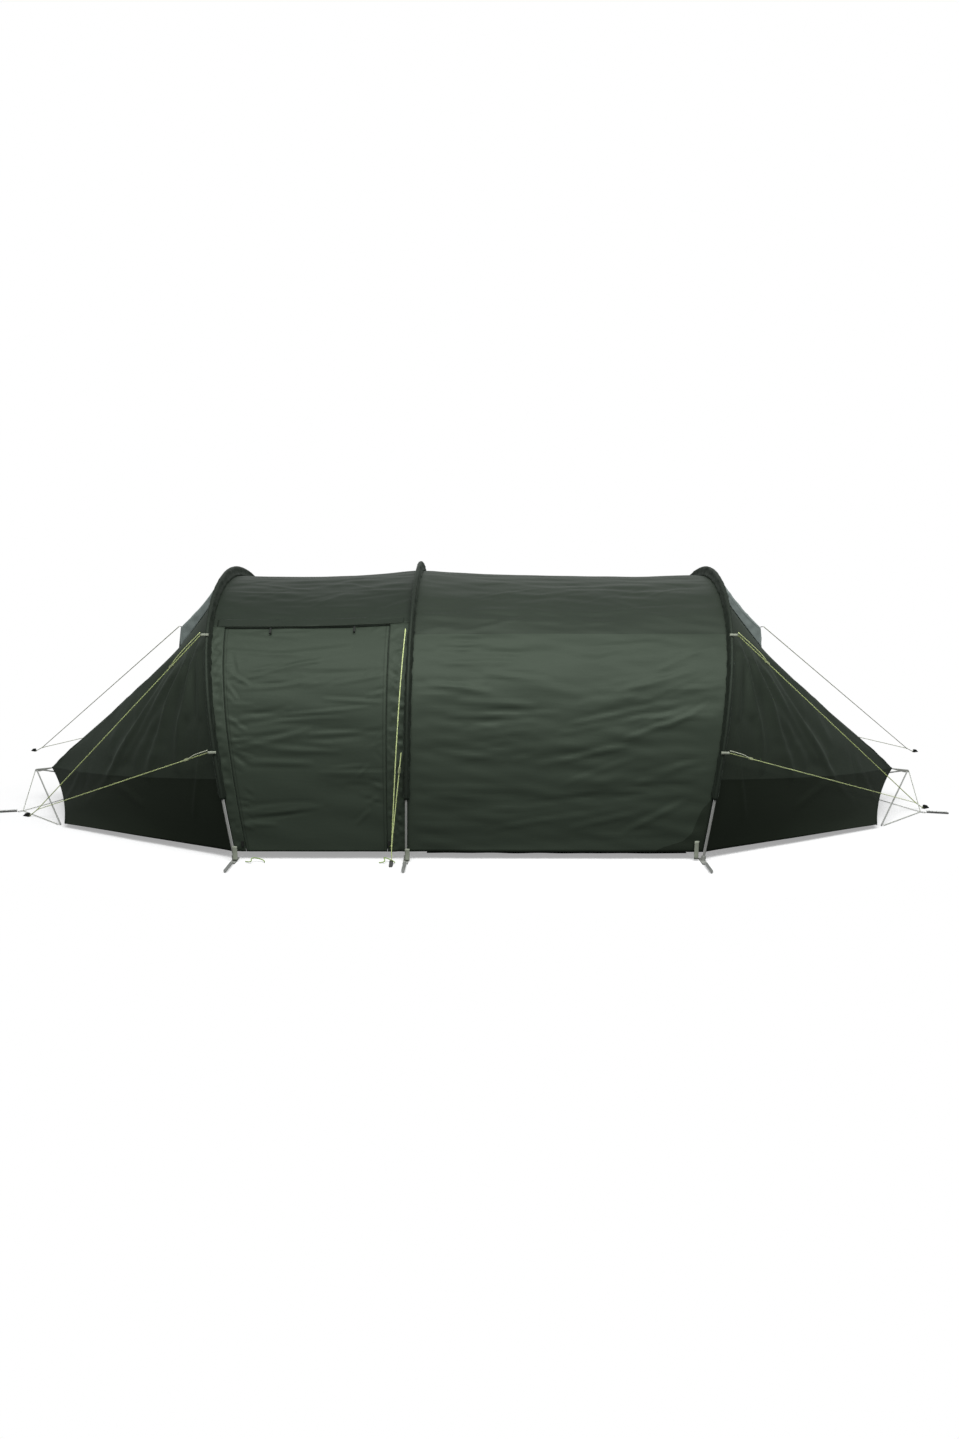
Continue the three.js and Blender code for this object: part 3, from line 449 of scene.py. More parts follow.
def surface(name, colour, roughness, metallic=0.0, scale=300.0, bump=0.15, variation=0.15, stretch=(1, 1, 1)):
    """Metal, plastic or webbing, with a fine grain in the object's own metres."""
    material, tree, shader = new_material(name, roughness, metallic)
    links = tree.links
    place = mapped(tree, node(tree, "ShaderNodeTexCoord").outputs["Object"], Scale=stretch)
    grain = noise(tree, place, Scale=scale, Detail=4.0)
    worn = noise(tree, place, Scale=scale / 12, Detail=3.0)
    low = tuple(c * (1 - variation) for c in colour)
    high = tuple(min(1.0, c * (1 + variation)) for c in colour)
    links.new(mix_colour(tree, worn, low, high), shader.inputs["Base Color"])
    rough = maths(tree, "ADD", maths(tree, "MULTIPLY", grain, 0.2), roughness - 0.1)
    links.new(rough, shader.inputs["Roughness"])
    links.new(relief(tree, grain, bump, 0.0004), shader.inputs["Normal"])
    return material


def braid(name, colour, fleck, roughness=0.65):
    """Braided cord: crossing strands and a fleck of a second colour, from the object's metres."""
    material, tree, shader = new_material(name, roughness)
    links = tree.links
    place = node(tree, "ShaderNodeTexCoord").outputs["Object"]
    strands = []
    for turn in (0.7, -0.7):
        wave = node(tree, "ShaderNodeTexWave", Scale=260.0, Distortion=0.6)
        links.new(mapped(tree, place, Rotation=(turn, turn, turn)), wave.inputs["Vector"])
        strands.append(wave.outputs["Fac"])
    crossing = maths(tree, "MULTIPLY", strands[0], strands[1])
    share = maths(tree, "GREATER_THAN", noise(tree, place, Scale=90.0, Detail=1.0), 0.6)
    tinted = mix_colour(tree, maths(tree, "MULTIPLY", share, 0.3), colour, fleck)
    shade = mix_colour(tree, 1.0, tinted, (0.88, 0.88, 0.88), "MULTIPLY")
    shaded = mix_colour(tree, crossing, shade, tinted)
    links.new(shaded, shader.inputs["Base Color"])
    links.new(relief(tree, crossing, 0.5, 0.0005), shader.inputs["Normal"])
    return material


# Cloth colours as the shader takes them, set by comparing renders with the photograph.
FLY = (0.0310, 0.0410, 0.0295)
# ROOF is the fly's green at about half its brightness: painted shade for the porch roof, its rain flap and
# the tape behind the flap.
ROOF = (0.0150, 0.0200, 0.0145)
DEEP = (0.0070, 0.0096, 0.0055)
M = {
    # The fly's second colour is painted shade for the corner by the right hoop's near foot.
    "fly": ripstop(
        # The fly's third colour is painted shade for the roof above the seam.
        "fly_cloth", FLY, (0.0165, 0.0220, 0.0150), (0.0205, 0.0265, 0.0195),
        uses=("dark", "roof", "stitch"),
    ),
    "porch": ripstop("porch_cloth", ROOF, DEEP, uses=("dark", "stitch")),
    "end": ripstop("end_cloth", (0.022, 0.0285, 0.0205), DEEP, uses=("dark", "stitch")),
    "sleeve": ripstop("sleeve_cloth", (0.0135, 0.0175, 0.013), roughness=0.6),
    "hood": ripstop(
        "hood_cloth", (0.235, 0.275, 0.262), (0.012, 0.014, 0.013), roughness=0.55,
        uses=("dark", "stitch"),
    ),
    "mesh": ripstop("vent_mesh", (0.008, 0.010, 0.010), roughness=0.8, grid=0.0025, bump=0.8),
    "inner": ripstop(
        "inner_cloth", linear(142, 148, 136), (0.012, 0.014, 0.014), roughness=0.7,
        uses=("dark", "stitch"),
    ),
    "ground": ripstop("ground_cloth", (0.020, 0.023, 0.022), roughness=0.55),
    "pole": surface("pole_metal", linear(176, 177, 172), 0.34, 0.45, 500.0, 0.1, 0.08, (1, 1, 0.1)),
    "strut": surface("strut_rod", linear(176, 178, 173), 0.4, 0.2, 400.0, 0.12, 0.12),
    "webbing": surface("webbing", linear(150, 152, 146), 0.85, 0.0, 700.0, 0.6, 0.2, (1, 1, 3)),
    "peg": surface("peg_alloy", linear(158, 160, 157), 0.38, 0.25, 260.0, 0.25, 0.22),
    "plastic": surface("dark_plastic", linear(24, 27, 23), 0.5, 0.0, 600.0, 0.15, 0.12),
    "runner": surface("runner_plastic", linear(150, 158, 120), 0.5, 0.0, 600.0, 0.15, 0.12),
    "ring": surface("wire", linear(196, 198, 194), 0.35, 0.15, 500.0, 0.1, 0.08),
    "guy": braid("guy_braid", linear(236, 250, 176), linear(244, 250, 220)),
    "tie": braid("tie_braid", linear(150, 184, 84), linear(176, 196, 120)),
    "guy_pale": braid("far_braid", linear(226, 232, 206), linear(236, 238, 228)),
    "bridle": braid("bridle_braid", linear(222, 226, 214), linear(234, 236, 228)),
    "zip": surface("zip_tape", linear(46, 53, 45), 0.7, 0.0, 900.0, 0.7, 0.2),
    "sleeve_webbing": surface("dark_webbing", linear(40, 44, 39), 0.85, 0.0, 700.0, 0.6, 0.2),
    "tab": surface("pale_tab", linear(150, 156, 140), 0.8, 0.0, 700.0, 0.5, 0.15),
}


PLAIN_SHAPE_FACES = 60


def dress(name, material):
    """Gives a CAD node its finished material, and smooth shading unless it has few faces."""
    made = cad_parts[name]
    made.data.materials.clear()
    made.data.materials.append(M[material])
    faces = made.data.polygons
    faces.foreach_set("use_smooth", [len(faces) > PLAIN_SHAPE_FACES] * len(faces))


PLACES = ("left", "middle", "right")
SIDES = (("near", -1), ("far", 1))
for place in PLACES:
    dress("pole_" + place, "pole")
    for side_name, _ in SIDES:
        dress(f"foot_strap_{place}_{side_name}", "webbing")
        dress(f"foot_peg_{place}_{side_name}", "peg")
        dress(f"guy_line_{place}_{side_name}", "guy" if side_name == "near" else "guy_pale")
        dress(f"guy_peg_{place}_{side_name}", "plastic")
for place in ("left", "right"):
    dress("apex_tab_" + place, "webbing")
    dress("end_ring_" + place, "ring")
    dress("end_bridle_" + place, "bridle")
    dress("end_peg_" + place, "ring")
    dress("zip_slider_" + place, "plastic")
    dress("door_toggle_" + place, "plastic")
    for side_name, _ in SIDES:
        dress(f"end_strut_{place}_{side_name}", "strut")
for line in ("left_upper", "left_lower", "right_upper", "right_lower", "middle_lower"):
    dress("tensioner_" + line, "runner")

# At the CAD's 3 mm the cords looked thinner than in the photograph, so they are shown 4.2 mm thick.
for name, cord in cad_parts.items():
    if name.startswith(("guy_line_", "end_bridle_")):
        swell = cord.modifiers.new("braid", "DISPLACE")
        swell.strength = CORD_SWELL
        swell.mid_level = 0.0

# ---- Flysheet between the hoops ----


def fly_surface(start, end, along, around):
    """The fly's outer face between two hoops, at shares along and around, as a grid of points."""
    a = start.arch(SIDE_INSET, TOP_INSET, HEM, around)[None]
    b = end.arch(SIDE_INSET, TOP_INSET, HEM, around)[None]
    s = np.asarray(along)[:, None]
    grid = a + (b - a) * s[..., None]
    slack = 4 * s * (1 - s)
    height = np.maximum(0, grid[..., 2] - HEM) / (start.height - TOP_INSET)
    grid[..., 2] -= slack * ROOF_SAG * height**3
    waist = slack * WALL_WAIST * np.sin(math.pi * np.minimum(1, height))
    grid[..., 1] -= np.sign(grid[..., 1]) * waist
    return grid


def cloth_uv(grid):
    """How far each point of a grid lies along and around the cloth, in metres."""
    along = np.cumsum(np.linalg.norm(np.diff(grid, axis=0), axis=2), 0)
    around = np.cumsum(np.linalg.norm(np.diff(grid, axis=1), axis=2), 1)
    u = np.concatenate([np.zeros((1, grid.shape[1])), along])
    v = np.concatenate([np.zeros((grid.shape[0], 1)), around], 1)
    return u, v


def around_at(start, end, z):
    """The share of the way round at which the middle of a section reaches a height."""
    shares = np.linspace(0, 0.5, 800)
    line = fly_surface(start, end, [0.5], shares)[0]
    return float(np.interp(z, line[:, 2], shares))


def wrinkled(grid, amount, hold=0.04):
    """Moves each point along its normal, and not at all at the section's ends."""
    rows = grid.shape[0]
    s = np.linspace(0, 1, rows)[:, None]
    held = np.clip(np.minimum(s, 1 - s) / hold, 0, 1)
    return grid + normals_of(grid) * (amount * held)[..., None]


left, middle, right = (HOOPS[p] for p in PLACES)

# The reinforced corner by the right hoop's near foot, below a line of these points. Below that line the fly
# takes a darker colour as painted shade.
CORNER_X = (0.760, 0.794, 0.877, 0.912, 0.946, 0.998, 1.060)
CORNER_Z = (0.036, 0.054, 0.081, 0.118, 0.212, 0.271, 0.300)

# Long folds on the sleeping section: start and end as (along, up from the hem), width, depth.
STREAKS = (
    ((0.10, 0.86), (0.46, 0.83), 0.012, 0.0050),
    ((0.12, 0.78), (0.40, 0.80), 0.009, 0.0042),
    ((0.06, 0.70), (0.34, 0.66), 0.011, 0.0045),
    ((0.20, 0.62), (0.52, 0.60), 0.014, 0.0048),
    ((0.30, 0.74), (0.58, 0.71), 0.010, 0.0040),
    ((0.72, 0.86), (1.06, 0.90), 0.010, 0.0036),
    ((0.84, 0.66), (1.18, 0.76), 0.012, 0.0044),
    ((0.64, 0.52), (0.98, 0.60), 0.011, 0.0042),
    ((0.86, 0.46), (1.18, 0.58), 0.010, 0.0042),
    ((0.52, 0.36), (0.90, 0.44), 0.012, 0.0040),
    ((0.88, 0.08), (1.14, 0.22), 0.012, 0.0044),
    ((0.66, 0.10), (0.96, 0.17), 0.010, 0.0036),
    ((0.10, 0.42), (0.40, 0.38), 0.011, 0.0038),
    ((0.08, 0.24), (0.44, 0.22), 0.010, 0.0032),
    ((0.22, 1.02), (0.62, 1.00), 0.013, 0.0036),
    ((0.74, 1.06), (1.16, 1.12), 0.012, 0.0036),
)

# Families of folds on its near side: seed, count, where along and up, length, tilt, width, depth, curve.
SLEEPING_FOLDS = (
    (11, 34, (0.05, 0.5), (0.35, 0.95), (0.10, 0.34), (0.05, 0.12), (0.006, 0.014), 0.0038, 0.25),
    (12, 30, (0.75, 1.15), (0.30, 0.85), (0.12, 0.40), (0.25, 0.18), (0.006, 0.015), 0.0038, 0.3),
    (13, 16, (0.2, 1.1), (0.03, 0.30), (0.20, 0.55), (0.10, 0.10), (0.007, 0.014), 0.0032, 0.1),
    (14, 26, (0.1, 1.15), (0.95, 1.35), (0.12, 0.45), (0.22, 0.25), (0.007, 0.016), 0.0032, 0.2),
)
SLEEPING_FAR_FOLDS = (
    15, 70, (0.05, 1.15), (0.05, 1.3), (0.12, 0.45), (0.1, 0.25), (0.006, 0.015), 0.0034, 0.2,
)

along = np.linspace(SLEEPING_GAP, 1 - SLEEPING_GAP, 121)
around = np.linspace(0, 1, 281)
grid = fly_surface(middle, right, along, around)
u, v = cloth_uv(grid)
girth = v[0, -1]
mirror_v = np.minimum(v, girth - v)
amount = 0.0016 * waves(u, mirror_v, 3, 0.9, 0.16)
amount += 0.0010 * waves(u, mirror_v, 4, 0.35, 0.07)
for family in SLEEPING_FOLDS:
    amount += creases(u, v, *family)
amount += creases(u, girth - v, *SLEEPING_FAR_FOLDS)
for start_at, end_at, broad, deep in STREAKS:
    amount += crease(u, v, start_at, end_at, broad, deep)
grid = wrinkled(grid, amount * WRINKLE_SHARE)
x, y, z = grid[..., 0], grid[..., 1], grid[..., 2]
# Above the roof seam the cloth takes a darker colour: painted shade on the roof.
roof_seam = z - ROOF_SEAM
corner_line = np.interp(x, CORNER_X, CORNER_Z)
# Below the corner's line the cloth turns darker: painted shade, with a stitched seam along the line.
corner = np.where((y < 0) & (x > CORNER_X[0]), corner_line - z, -1.0)
sleeping = cloth_sheet(
    "fly_sleeping_cloth", grid, (u, v), M["fly"], dark=corner, roof=roof_seam,
    stitch=np.minimum(np.abs(roof_seam), np.abs(corner)),
)
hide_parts("fly_sleeping")

# Porch: the near wall has the doorway, so the sheet is built round it in three pieces.
door_top = around_at(left, middle, DOOR_HEIGHT)
ROOF_FOLDS = (23, 22, (0.1, 0.75), (0.98, 1.3), (0.12, 0.35), (0.1, 0.3), (0.007, 0.015), 0.0028, 0.2)
FAR_WALL_FOLDS = (24, 46, (0.05, 0.8), (0.05, 1.2), (0.12, 0.4), (0.08, 0.25), (0.006, 0.014), 0.0034, 0.2)


def porch_amount(u, v):
    """How far the porch's folds lift the cloth."""
    amount = 0.0012 * waves(u, v, 21, 0.6, 0.16)
    amount += 0.0008 * waves(u, v, 22, 0.3, 0.06)
    amount += creases(u, v, *ROOF_FOLDS)
    amount += creases(u, GIRTH - v, *FAR_WALL_FOLDS)
    return amount


def porch_uv(s, t):
    return np.broadcast_arrays((s * PORCH_LENGTH)[:, None], (t * GIRTH)[None])


def strip(s_range, t_range, rows, columns, seed=0, puckers=0.0, folds=porch_amount):
    """Part of the porch's surface with its folds, and its cloth coordinates."""
    s = np.linspace(*s_range, rows)
    t = np.linspace(*t_range, columns)
    grid = fly_surface(left, middle, s, t)
    u, v = porch_uv(s, t)
    amount = folds(u, v)
    if puckers:
        amount = amount + puckers * waves(u, v, seed, PUCKER_U, PUCKER_V)
    held = np.clip(np.minimum(u - u[0, 0], u[-1, 0] - u) / 0.02, 0, 1)
    grid = grid + normals_of(grid) * (amount * held)[..., None]
    return grid, (u, v)


roof_piece = strip((PORCH_GAP, 1 - PORCH_GAP), (door_top, 1.0), 81, 201)
left_piece = strip((PORCH_GAP, DOOR_FROM), (0.0, door_top), 12, 101, seed=31, puckers=0.0012)
right_piece = strip((DOOR_TO, 1 - PORCH_GAP), (0.0, door_top), 14, 101, seed=32, puckers=0.0016)
for name, (grid, uv), cloth, size in (
    ("fly_porch_roof", roof_piece, "porch", (0.87, 1.93)),
    ("fly_porch_left_strip", left_piece, "fly", (0.06, 0.96)),
    ("fly_porch_right_strip", right_piece, "fly", (0.075, 0.96)),
):
    none = nowhere(grid)
    made = cloth_sheet(name, grid, uv, M[cloth], dark=none, roof=none, stitch=none)
    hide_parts("fly_porch")

# Side door: level folds over it and many small tucks along both zips.
DOOR_TOP_DROP = 0.0018  # the door's top below the seam, as a share of the way round
DOOR_STITCH = 0.012  # the seams' distance from the door's edges
DOOR_FOLDS = (
    (42, 52, (0.12, 0.62), (0.06, 0.9), (0.12, 0.42), (0.02, 0.10), (0.005, 0.012), 0.0040, 0.2),
    (43, 34, (0.055, 0.12), (0.1, 0.85), (0.04, 0.11), (-0.55, 0.3), (0.004, 0.008), 0.0046),
    (44, 18, (0.58, 0.69), (0.1, 0.9), (0.04, 0.1), (0.2, 0.5), (0.005, 0.010), 0.0034),
)


def door_amount(u, v):
    """How far the door's folds lift the cloth."""
    amount = 0.0013 * waves(u, v, 41, 0.55, 0.13)
    for family in DOOR_FOLDS:
        amount += creases(u, v, *family)
    return amount * WRINKLE_SHARE


door_grid, door_uv = strip(
    (DOOR_FROM + DOOR_GAP, DOOR_TO - DOOR_GAP), (0.0, door_top - DOOR_TOP_DROP), 91, 121, folds=door_amount
)
door_u = door_uv[0]
door = cloth_sheet(
    "side_door_cloth", door_grid, door_uv, M["fly"], body=DOOR,
    dark=nowhere(door_grid), roof=nowhere(door_grid),
    stitch=np.minimum(door_u - door_u[0, 0] - DOOR_STITCH, door_u[-1, 0] - DOOR_STITCH - door_u),
)
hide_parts("side_door")

# Rain flap over the door's top edge, lifted most at its lower edge.
FLAP_FROM, FLAP_TO = 0.0008, 0.0155  # its edges above the door's top, as shares of the way round
s = np.linspace(0.030, 1 - 0.040, 81)
t = np.linspace(door_top + FLAP_FROM, door_top + FLAP_TO, 9)
flap = fly_surface(left, middle, s, t)
lift = (0.0005 + 0.0020 * np.linspace(1, 0, 9) ** 1.2)[None]
lift = lift + 0.0004 * waves(s[:, None], t[None] * 9, 51, 0.2, 0.3)
flap = flap + np.array([0, -math.sqrt(0.5), math.sqrt(0.5)]) * lift[..., None]
flap_u, flap_v = porch_uv(s, t)
rain_flap = cloth_sheet(
    "rain_flap", flap, (flap_u, flap_v), M["porch"], dark=nowhere(flap), stitch=flap_v - flap_v[0, 0] - 0.005
)

# Zip tapes behind both edges of the door.
ZIP_BEHIND = 0.0075
for place, share in (("left", DOOR_FROM), ("right", DOOR_TO)):
    line = fly_surface(left, middle, [share], np.linspace(0.003, door_top - 0.002, 120))[0]
    line[:, 1] += ZIP_BEHIND
    tube(f"zip_tape_{place}", line, M["zip"], 0.0008, 0.009)

# A tape along the door's top seam, behind the rain flap's edge.
line = fly_surface(left, middle, np.linspace(DOOR_FROM, DOOR_TO, 90), [door_top - 0.0007])[:, 0]
line += (0.0, 0.0020, -0.0018)
tube("door_top_tape", line, M["porch"], 0.010, 0.0008)

# ---- Tapered ends ----

END_GAP = 0.004  # between the end and its hoop
EDGE_BOW = 0.022  # how far the open end's edge bows in
PANEL_DIP = 0.100  # how far the top panel dips
FOLD_BELOW_TOP = 0.226  # where the fold meets the hoop
CORNER_BEHIND_TIP = 0.239  # the low corners of the open end
CORNER_HALF = 0.415
CORNER_HEIGHT = 0.022
TIP_X = 2.096
TIP_HALF = 0.014
TIP_HEIGHT = 0.184
SEAM_AT_HOOP = 0.345  # height of the low panel's seam, which runs up to the tip
END_FOLDS = (63, 20, (0.1, 0.9), (0.10, 0.34), (0.1, 0.3), (-0.3, 0.4), (0.008, 0.014), 0.0045)
FAN_FOLDS = 11
FAN_STRETCH = 1.6  # the fan's folds are drawn with the way round stretched by this


def end_geometry(place, side, along, around):
    """An end's outer face at shares along and around, and the share round at which its fold runs."""
    hoop = HOOPS[place]
    low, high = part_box("end_" + place)
    tip_x = max(abs(low.x), abs(high.x))
    fold_z = hoop.height - FOLD_BELOW_TOP
    start = hoop.arch(SIDE_INSET, TOP_INSET, HEM, around)
    start[:, 0] += side * END_GAP
    dense = np.linspace(0, 0.5, 600)
    fold = float(np.interp(fold_z, hoop.arch(SIDE_INSET, TOP_INSET, HEM, dense)[:, 2], dense))
    fold_y = float(hoop.half_at(fold_z, SIDE_INSET, TOP_INSET))
    near = np.where(around < 0.5, -1.0, 1.0)
    from_hem = np.minimum(around, 1 - around)
    rise = np.minimum(from_hem / fold, 1)
    across = np.maximum(0, (from_hem - fold) / (0.5 - fold))
    corner_x = tip_x - CORNER_BEHIND_TIP
    edge_x = side * (corner_x + (tip_x - corner_x) * rise - 4 * rise * (1 - rise) * EDGE_BOW)
    edge_y = near * (CORNER_HALF + (TIP_HALF - CORNER_HALF) * rise) * (1 - across)
    edge_z = CORNER_HEIGHT + (TIP_HEIGHT - CORNER_HEIGHT) * rise
    edge = np.stack([edge_x, edge_y, edge_z], 1)
    s = np.asarray(along)[:, None]
    grid = start[None] + (edge - start)[None] * s[..., None]
    in_panel = np.maximum(0, 1 - (start[:, 1] / fold_y) ** 2)[None]
    # s (1 - s)^2 is at most 4 / 27, so the dip is PANEL_DIP at its deepest.
    grid[..., 2] -= PANEL_DIP * in_panel * (27 / 4) * s * (1 - s) ** 2
    return grid, fold


for place, side in (("left", -1), ("right", 1)):
    s = np.linspace(0, 1, 101)
    t = np.linspace(0, 1, 241)
    grid, fold = end_geometry(place, side, s, t)
    if side < 0:
        grid = grid[::-1]
        s = s[::-1]
    u, v = cloth_uv(grid)
    out, up = np.broadcast_arrays(s[:, None], np.minimum(t, 1 - t)[None])
    # Folds fan out from where the fold line meets the hoop.
    amount = np.zeros_like(out)
    rng = np.random.default_rng(61)
    for k in range(FAN_FOLDS):
        end_out = 0.06 + 0.062 * k + rng.uniform(-0.015, 0.015)
        end_up = fold * rng.uniform(0.36, 0.62)
        start_out = 0.02 + 0.25 * end_out * rng.uniform(0.4, 1.0)
        start_up = fold * rng.uniform(0.86, 0.97)
        width = rng.uniform(0.013, 0.026)
        depth = rng.uniform(0.006, 0.012)
        begin = (start_out, start_up * FAN_STRETCH)
        finish = (end_out, end_up * FAN_STRETCH)
        amount += crease(out, up * FAN_STRETCH, begin, finish, width, depth)
    amount += 0.0012 * waves(out, up, 62, 0.5, 0.12)
    amount += creases(out, up, *END_FOLDS)
    held = np.clip(np.minimum(out, 1 - out) / 0.05, 0, 1)
    grid = grid + normals_of(grid) * (amount * held)[..., None]
    hoop_x = abs(HOOPS[place].foot_x)
    share = np.clip((np.abs(grid[..., 0]) - hoop_x) / (TIP_X - hoop_x), 0, 1)
    seam = (SEAM_AT_HOOP + (TIP_HEIGHT - SEAM_AT_HOOP) * share) - grid[..., 2]
    made = cloth_sheet(f"end_{place}_cloth", grid, (u, v), M["end"], dark=seam, stitch=seam)
    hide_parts("end_" + place)
    # A bound edge runs up both sides of the open end, from its corner to the tip.
    edge, _ = end_geometry(place, side, [1.0], np.linspace(0.0, fold, 60))
    far_edge, _ = end_geometry(place, side, [1.0], np.linspace(1.0, 1 - fold, 60))
    for label, line in (("near", edge[0]), ("far", far_edge[0])):
        line = line - np.array([side * 0.003, 0, 0])
        tube(f"end_hem_{place}_{label}", line, M["sleeve"], 0.0025, 0.005)

# ---- Sleeves ----

# One half of a sleeve's section and its mirror image: sideways in metres, and outwards as a share
# of the way in to the fly where below 0, or out to the hoop's outer line where above it.
HALF_SECTION = (
    (-0.0135, -1.0), (-0.0098, -0.80), (-0.0072, -0.45), (-0.0078, -0.10), (-0.0070, 0.30),
    (-0.0042, 0.62), (0.0, 0.74),
)
SLEEVE_SECTION = HALF_SECTION + tuple((-sideways, outwards) for sideways, outwards in HALF_SECTION[-2::-1])
SLEEVE_LENGTH = 2.55
SLEEVE_CLOTH = 0.0008

for place in PLACES:
    hoop = HOOPS[place]
    n = 260
    shares = np.linspace(0, 1, n)
    centre = hoop.arch(POLE_DEPTH, POLE_DEPTH, SLEEVE_START, shares)
    fly = hoop.arch(SIDE_INSET, TOP_INSET, HEM, np.linspace(0, 1, 900))
    tangent = np.gradient(centre, axis=0)
    tangent /= np.linalg.norm(tangent, axis=1, keepdims=True)
    across = np.array([1.0, 0, 0]) - tangent * tangent[:, :1]
    across /= np.linalg.norm(across, axis=1, keepdims=True)
    out = np.cross(across, tangent)
    out *= np.sign((out * centre * [0, 1, 1]).sum(1))[:, None]
    depth = np.array([np.linalg.norm(fly - c, axis=1).min() for c in centre])
    arc = shares * SLEEVE_LENGTH
    lines = []
    for k, (sideways, outwards) in enumerate(SLEEVE_SECTION):
        rise = np.where(outwards < 0, outwards * (depth - 0.003), outwards * POLE_DEPTH)
        rim = 0.0007 * waves(arc, np.full(n, k * 0.02), 71, 0.02, 0.05)
        tuck = 0.0011 * waves(arc, np.full(n, k * 0.01), 72 + k % 3, 0.05, 0.08)
        tuck *= 1 if outwards < 0 else 0.4
        lines.append(centre + across * (sideways + tuck + rim)[:, None] + out * rise[:, None])
    grid = np.stack(lines, 1)
    uv = np.broadcast_arrays(arc[:, None], np.linspace(0, 0.1, len(SLEEVE_SECTION))[None])
    made = cloth_sheet(f"sleeve_{place}_cloth", grid, uv, M["sleeve"], thick=SLEEVE_CLOTH)
    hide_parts("sleeve_" + place)

# ---- Guy tabs and the doubled strands below them ----

GUY_BELOW_TOP = 0.271
LOWER_GUY = 0.453
STRAND_SPREAD = 0.0115  # how far a doubled strand stands off its line, until its end


def hoop_edge(hoop, z, out):
    """A point just outside the hoop's near side."""
    return np.array([hoop.lean_x(z), -float(hoop.half_at(z)) - out, z])


for place, side in (("left", -1), ("right", 1)):
    hoop = HOOPS[place]
    peg_low, peg_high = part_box(f"guy_peg_{place}_near")
    peg = np.array([(peg_low.x + peg_high.x) / 2, (peg_low.y + peg_high.y) / 2, 0.02])
    for label, z, stretch in (("upper", hoop.height - GUY_BELOW_TOP, 0.20), ("lower", LOWER_GUY, 0.12)):
        root = hoop_edge(hoop, z, 0.004) + [-side * 0.012, 0, 0]
        end = hoop_edge(hoop, z, 0.008) + [side * 0.020, 0, 0]
        line = root + (end - root) * np.linspace(0, 1, 9)[:, None]
        tube(f"guy_tab_{place}_{label}", line, M["tab"], 0.0018, 0.006)
        direction = (peg - end) / np.linalg.norm(peg - end)
        share = np.linspace(0, 1, 25)[:, None]
        spread = np.array([0, -0.35, 0.9]) * STRAND_SPREAD * (1 - share**5)
        line = end + direction * stretch * share + spread
        cord = M["guy" if label == "upper" else "guy_pale"]
        tube(f"guy_strand_{place}_{label}", line, cord, STRAND_RADIUS, STRAND_RADIUS)

# Buckles and pull tabs at the hem, and the ends of the cords that tie it down.
for name, x_at, y_at, wide_x, tall in (
    ("hem_buckle_left", -0.951, -0.856, 0.022, 0.060),
    ("hem_buckle_middle", -0.249, -0.856, 0.020, 0.050),
    ("hem_tab_right", 0.930, -0.836, 0.019, 0.078),
):
    line = np.stack([np.full(9, x_at), np.full(9, y_at), np.linspace(0.008, 0.008 + tall, 9)], 1)
    line[:, 1] += 0.002 * np.sin(np.linspace(0, 3, 9))
    tube(name, line, M["tab"], 0.0022, wide_x / 2)
for k, (x_at, reach) in enumerate(((-0.885, 0.075), (-0.345, 0.06))):
    t = np.linspace(0, 1, 40)
    x = x_at + reach * (t - 0.3) + 0.010 * np.sin(9 * t)
    y = -0.862 - 0.012 * np.sin(7 * t + k)
    z = 0.006 + 0.012 * np.sin(math.pi * t) ** 2
    tube(f"hem_tie_{k + 1}", np.stack([x, y, z], 1), M["tie"], TIE_RADIUS, TIE_RADIUS)

# ---- Vent hoods ----

HOOD_TIP_X = 1.352
HOOD_TIP_Z = 0.908
HOOD_TIP_HALF = 0.200
HOOD_LIP = 0.112  # the lip's height
FAR_GUY_X = 1.412  # where the CAD's far guy line starts
FAR_GUY_Z = 0.886
MESH_CLOTH = 0.0006
HOOD_FOLDS = (82, 22, (0.02, 0.46), (0.05, 0.6), (0.08, 0.25), (0.5, 0.6), (0.006, 0.012), 0.0024)


def height_near(panel, x, y):
    """The height of a cloud of points under a place, from its four nearest points."""
    gap2 = (panel[:, 0] - x) ** 2 + (panel[:, 1] - y) ** 2
    near = np.argpartition(gap2, 4)[:4]
    weight = 1 / (gap2[near] + 1e-6)
    return float((panel[near, 2] * weight).sum() / weight.sum())


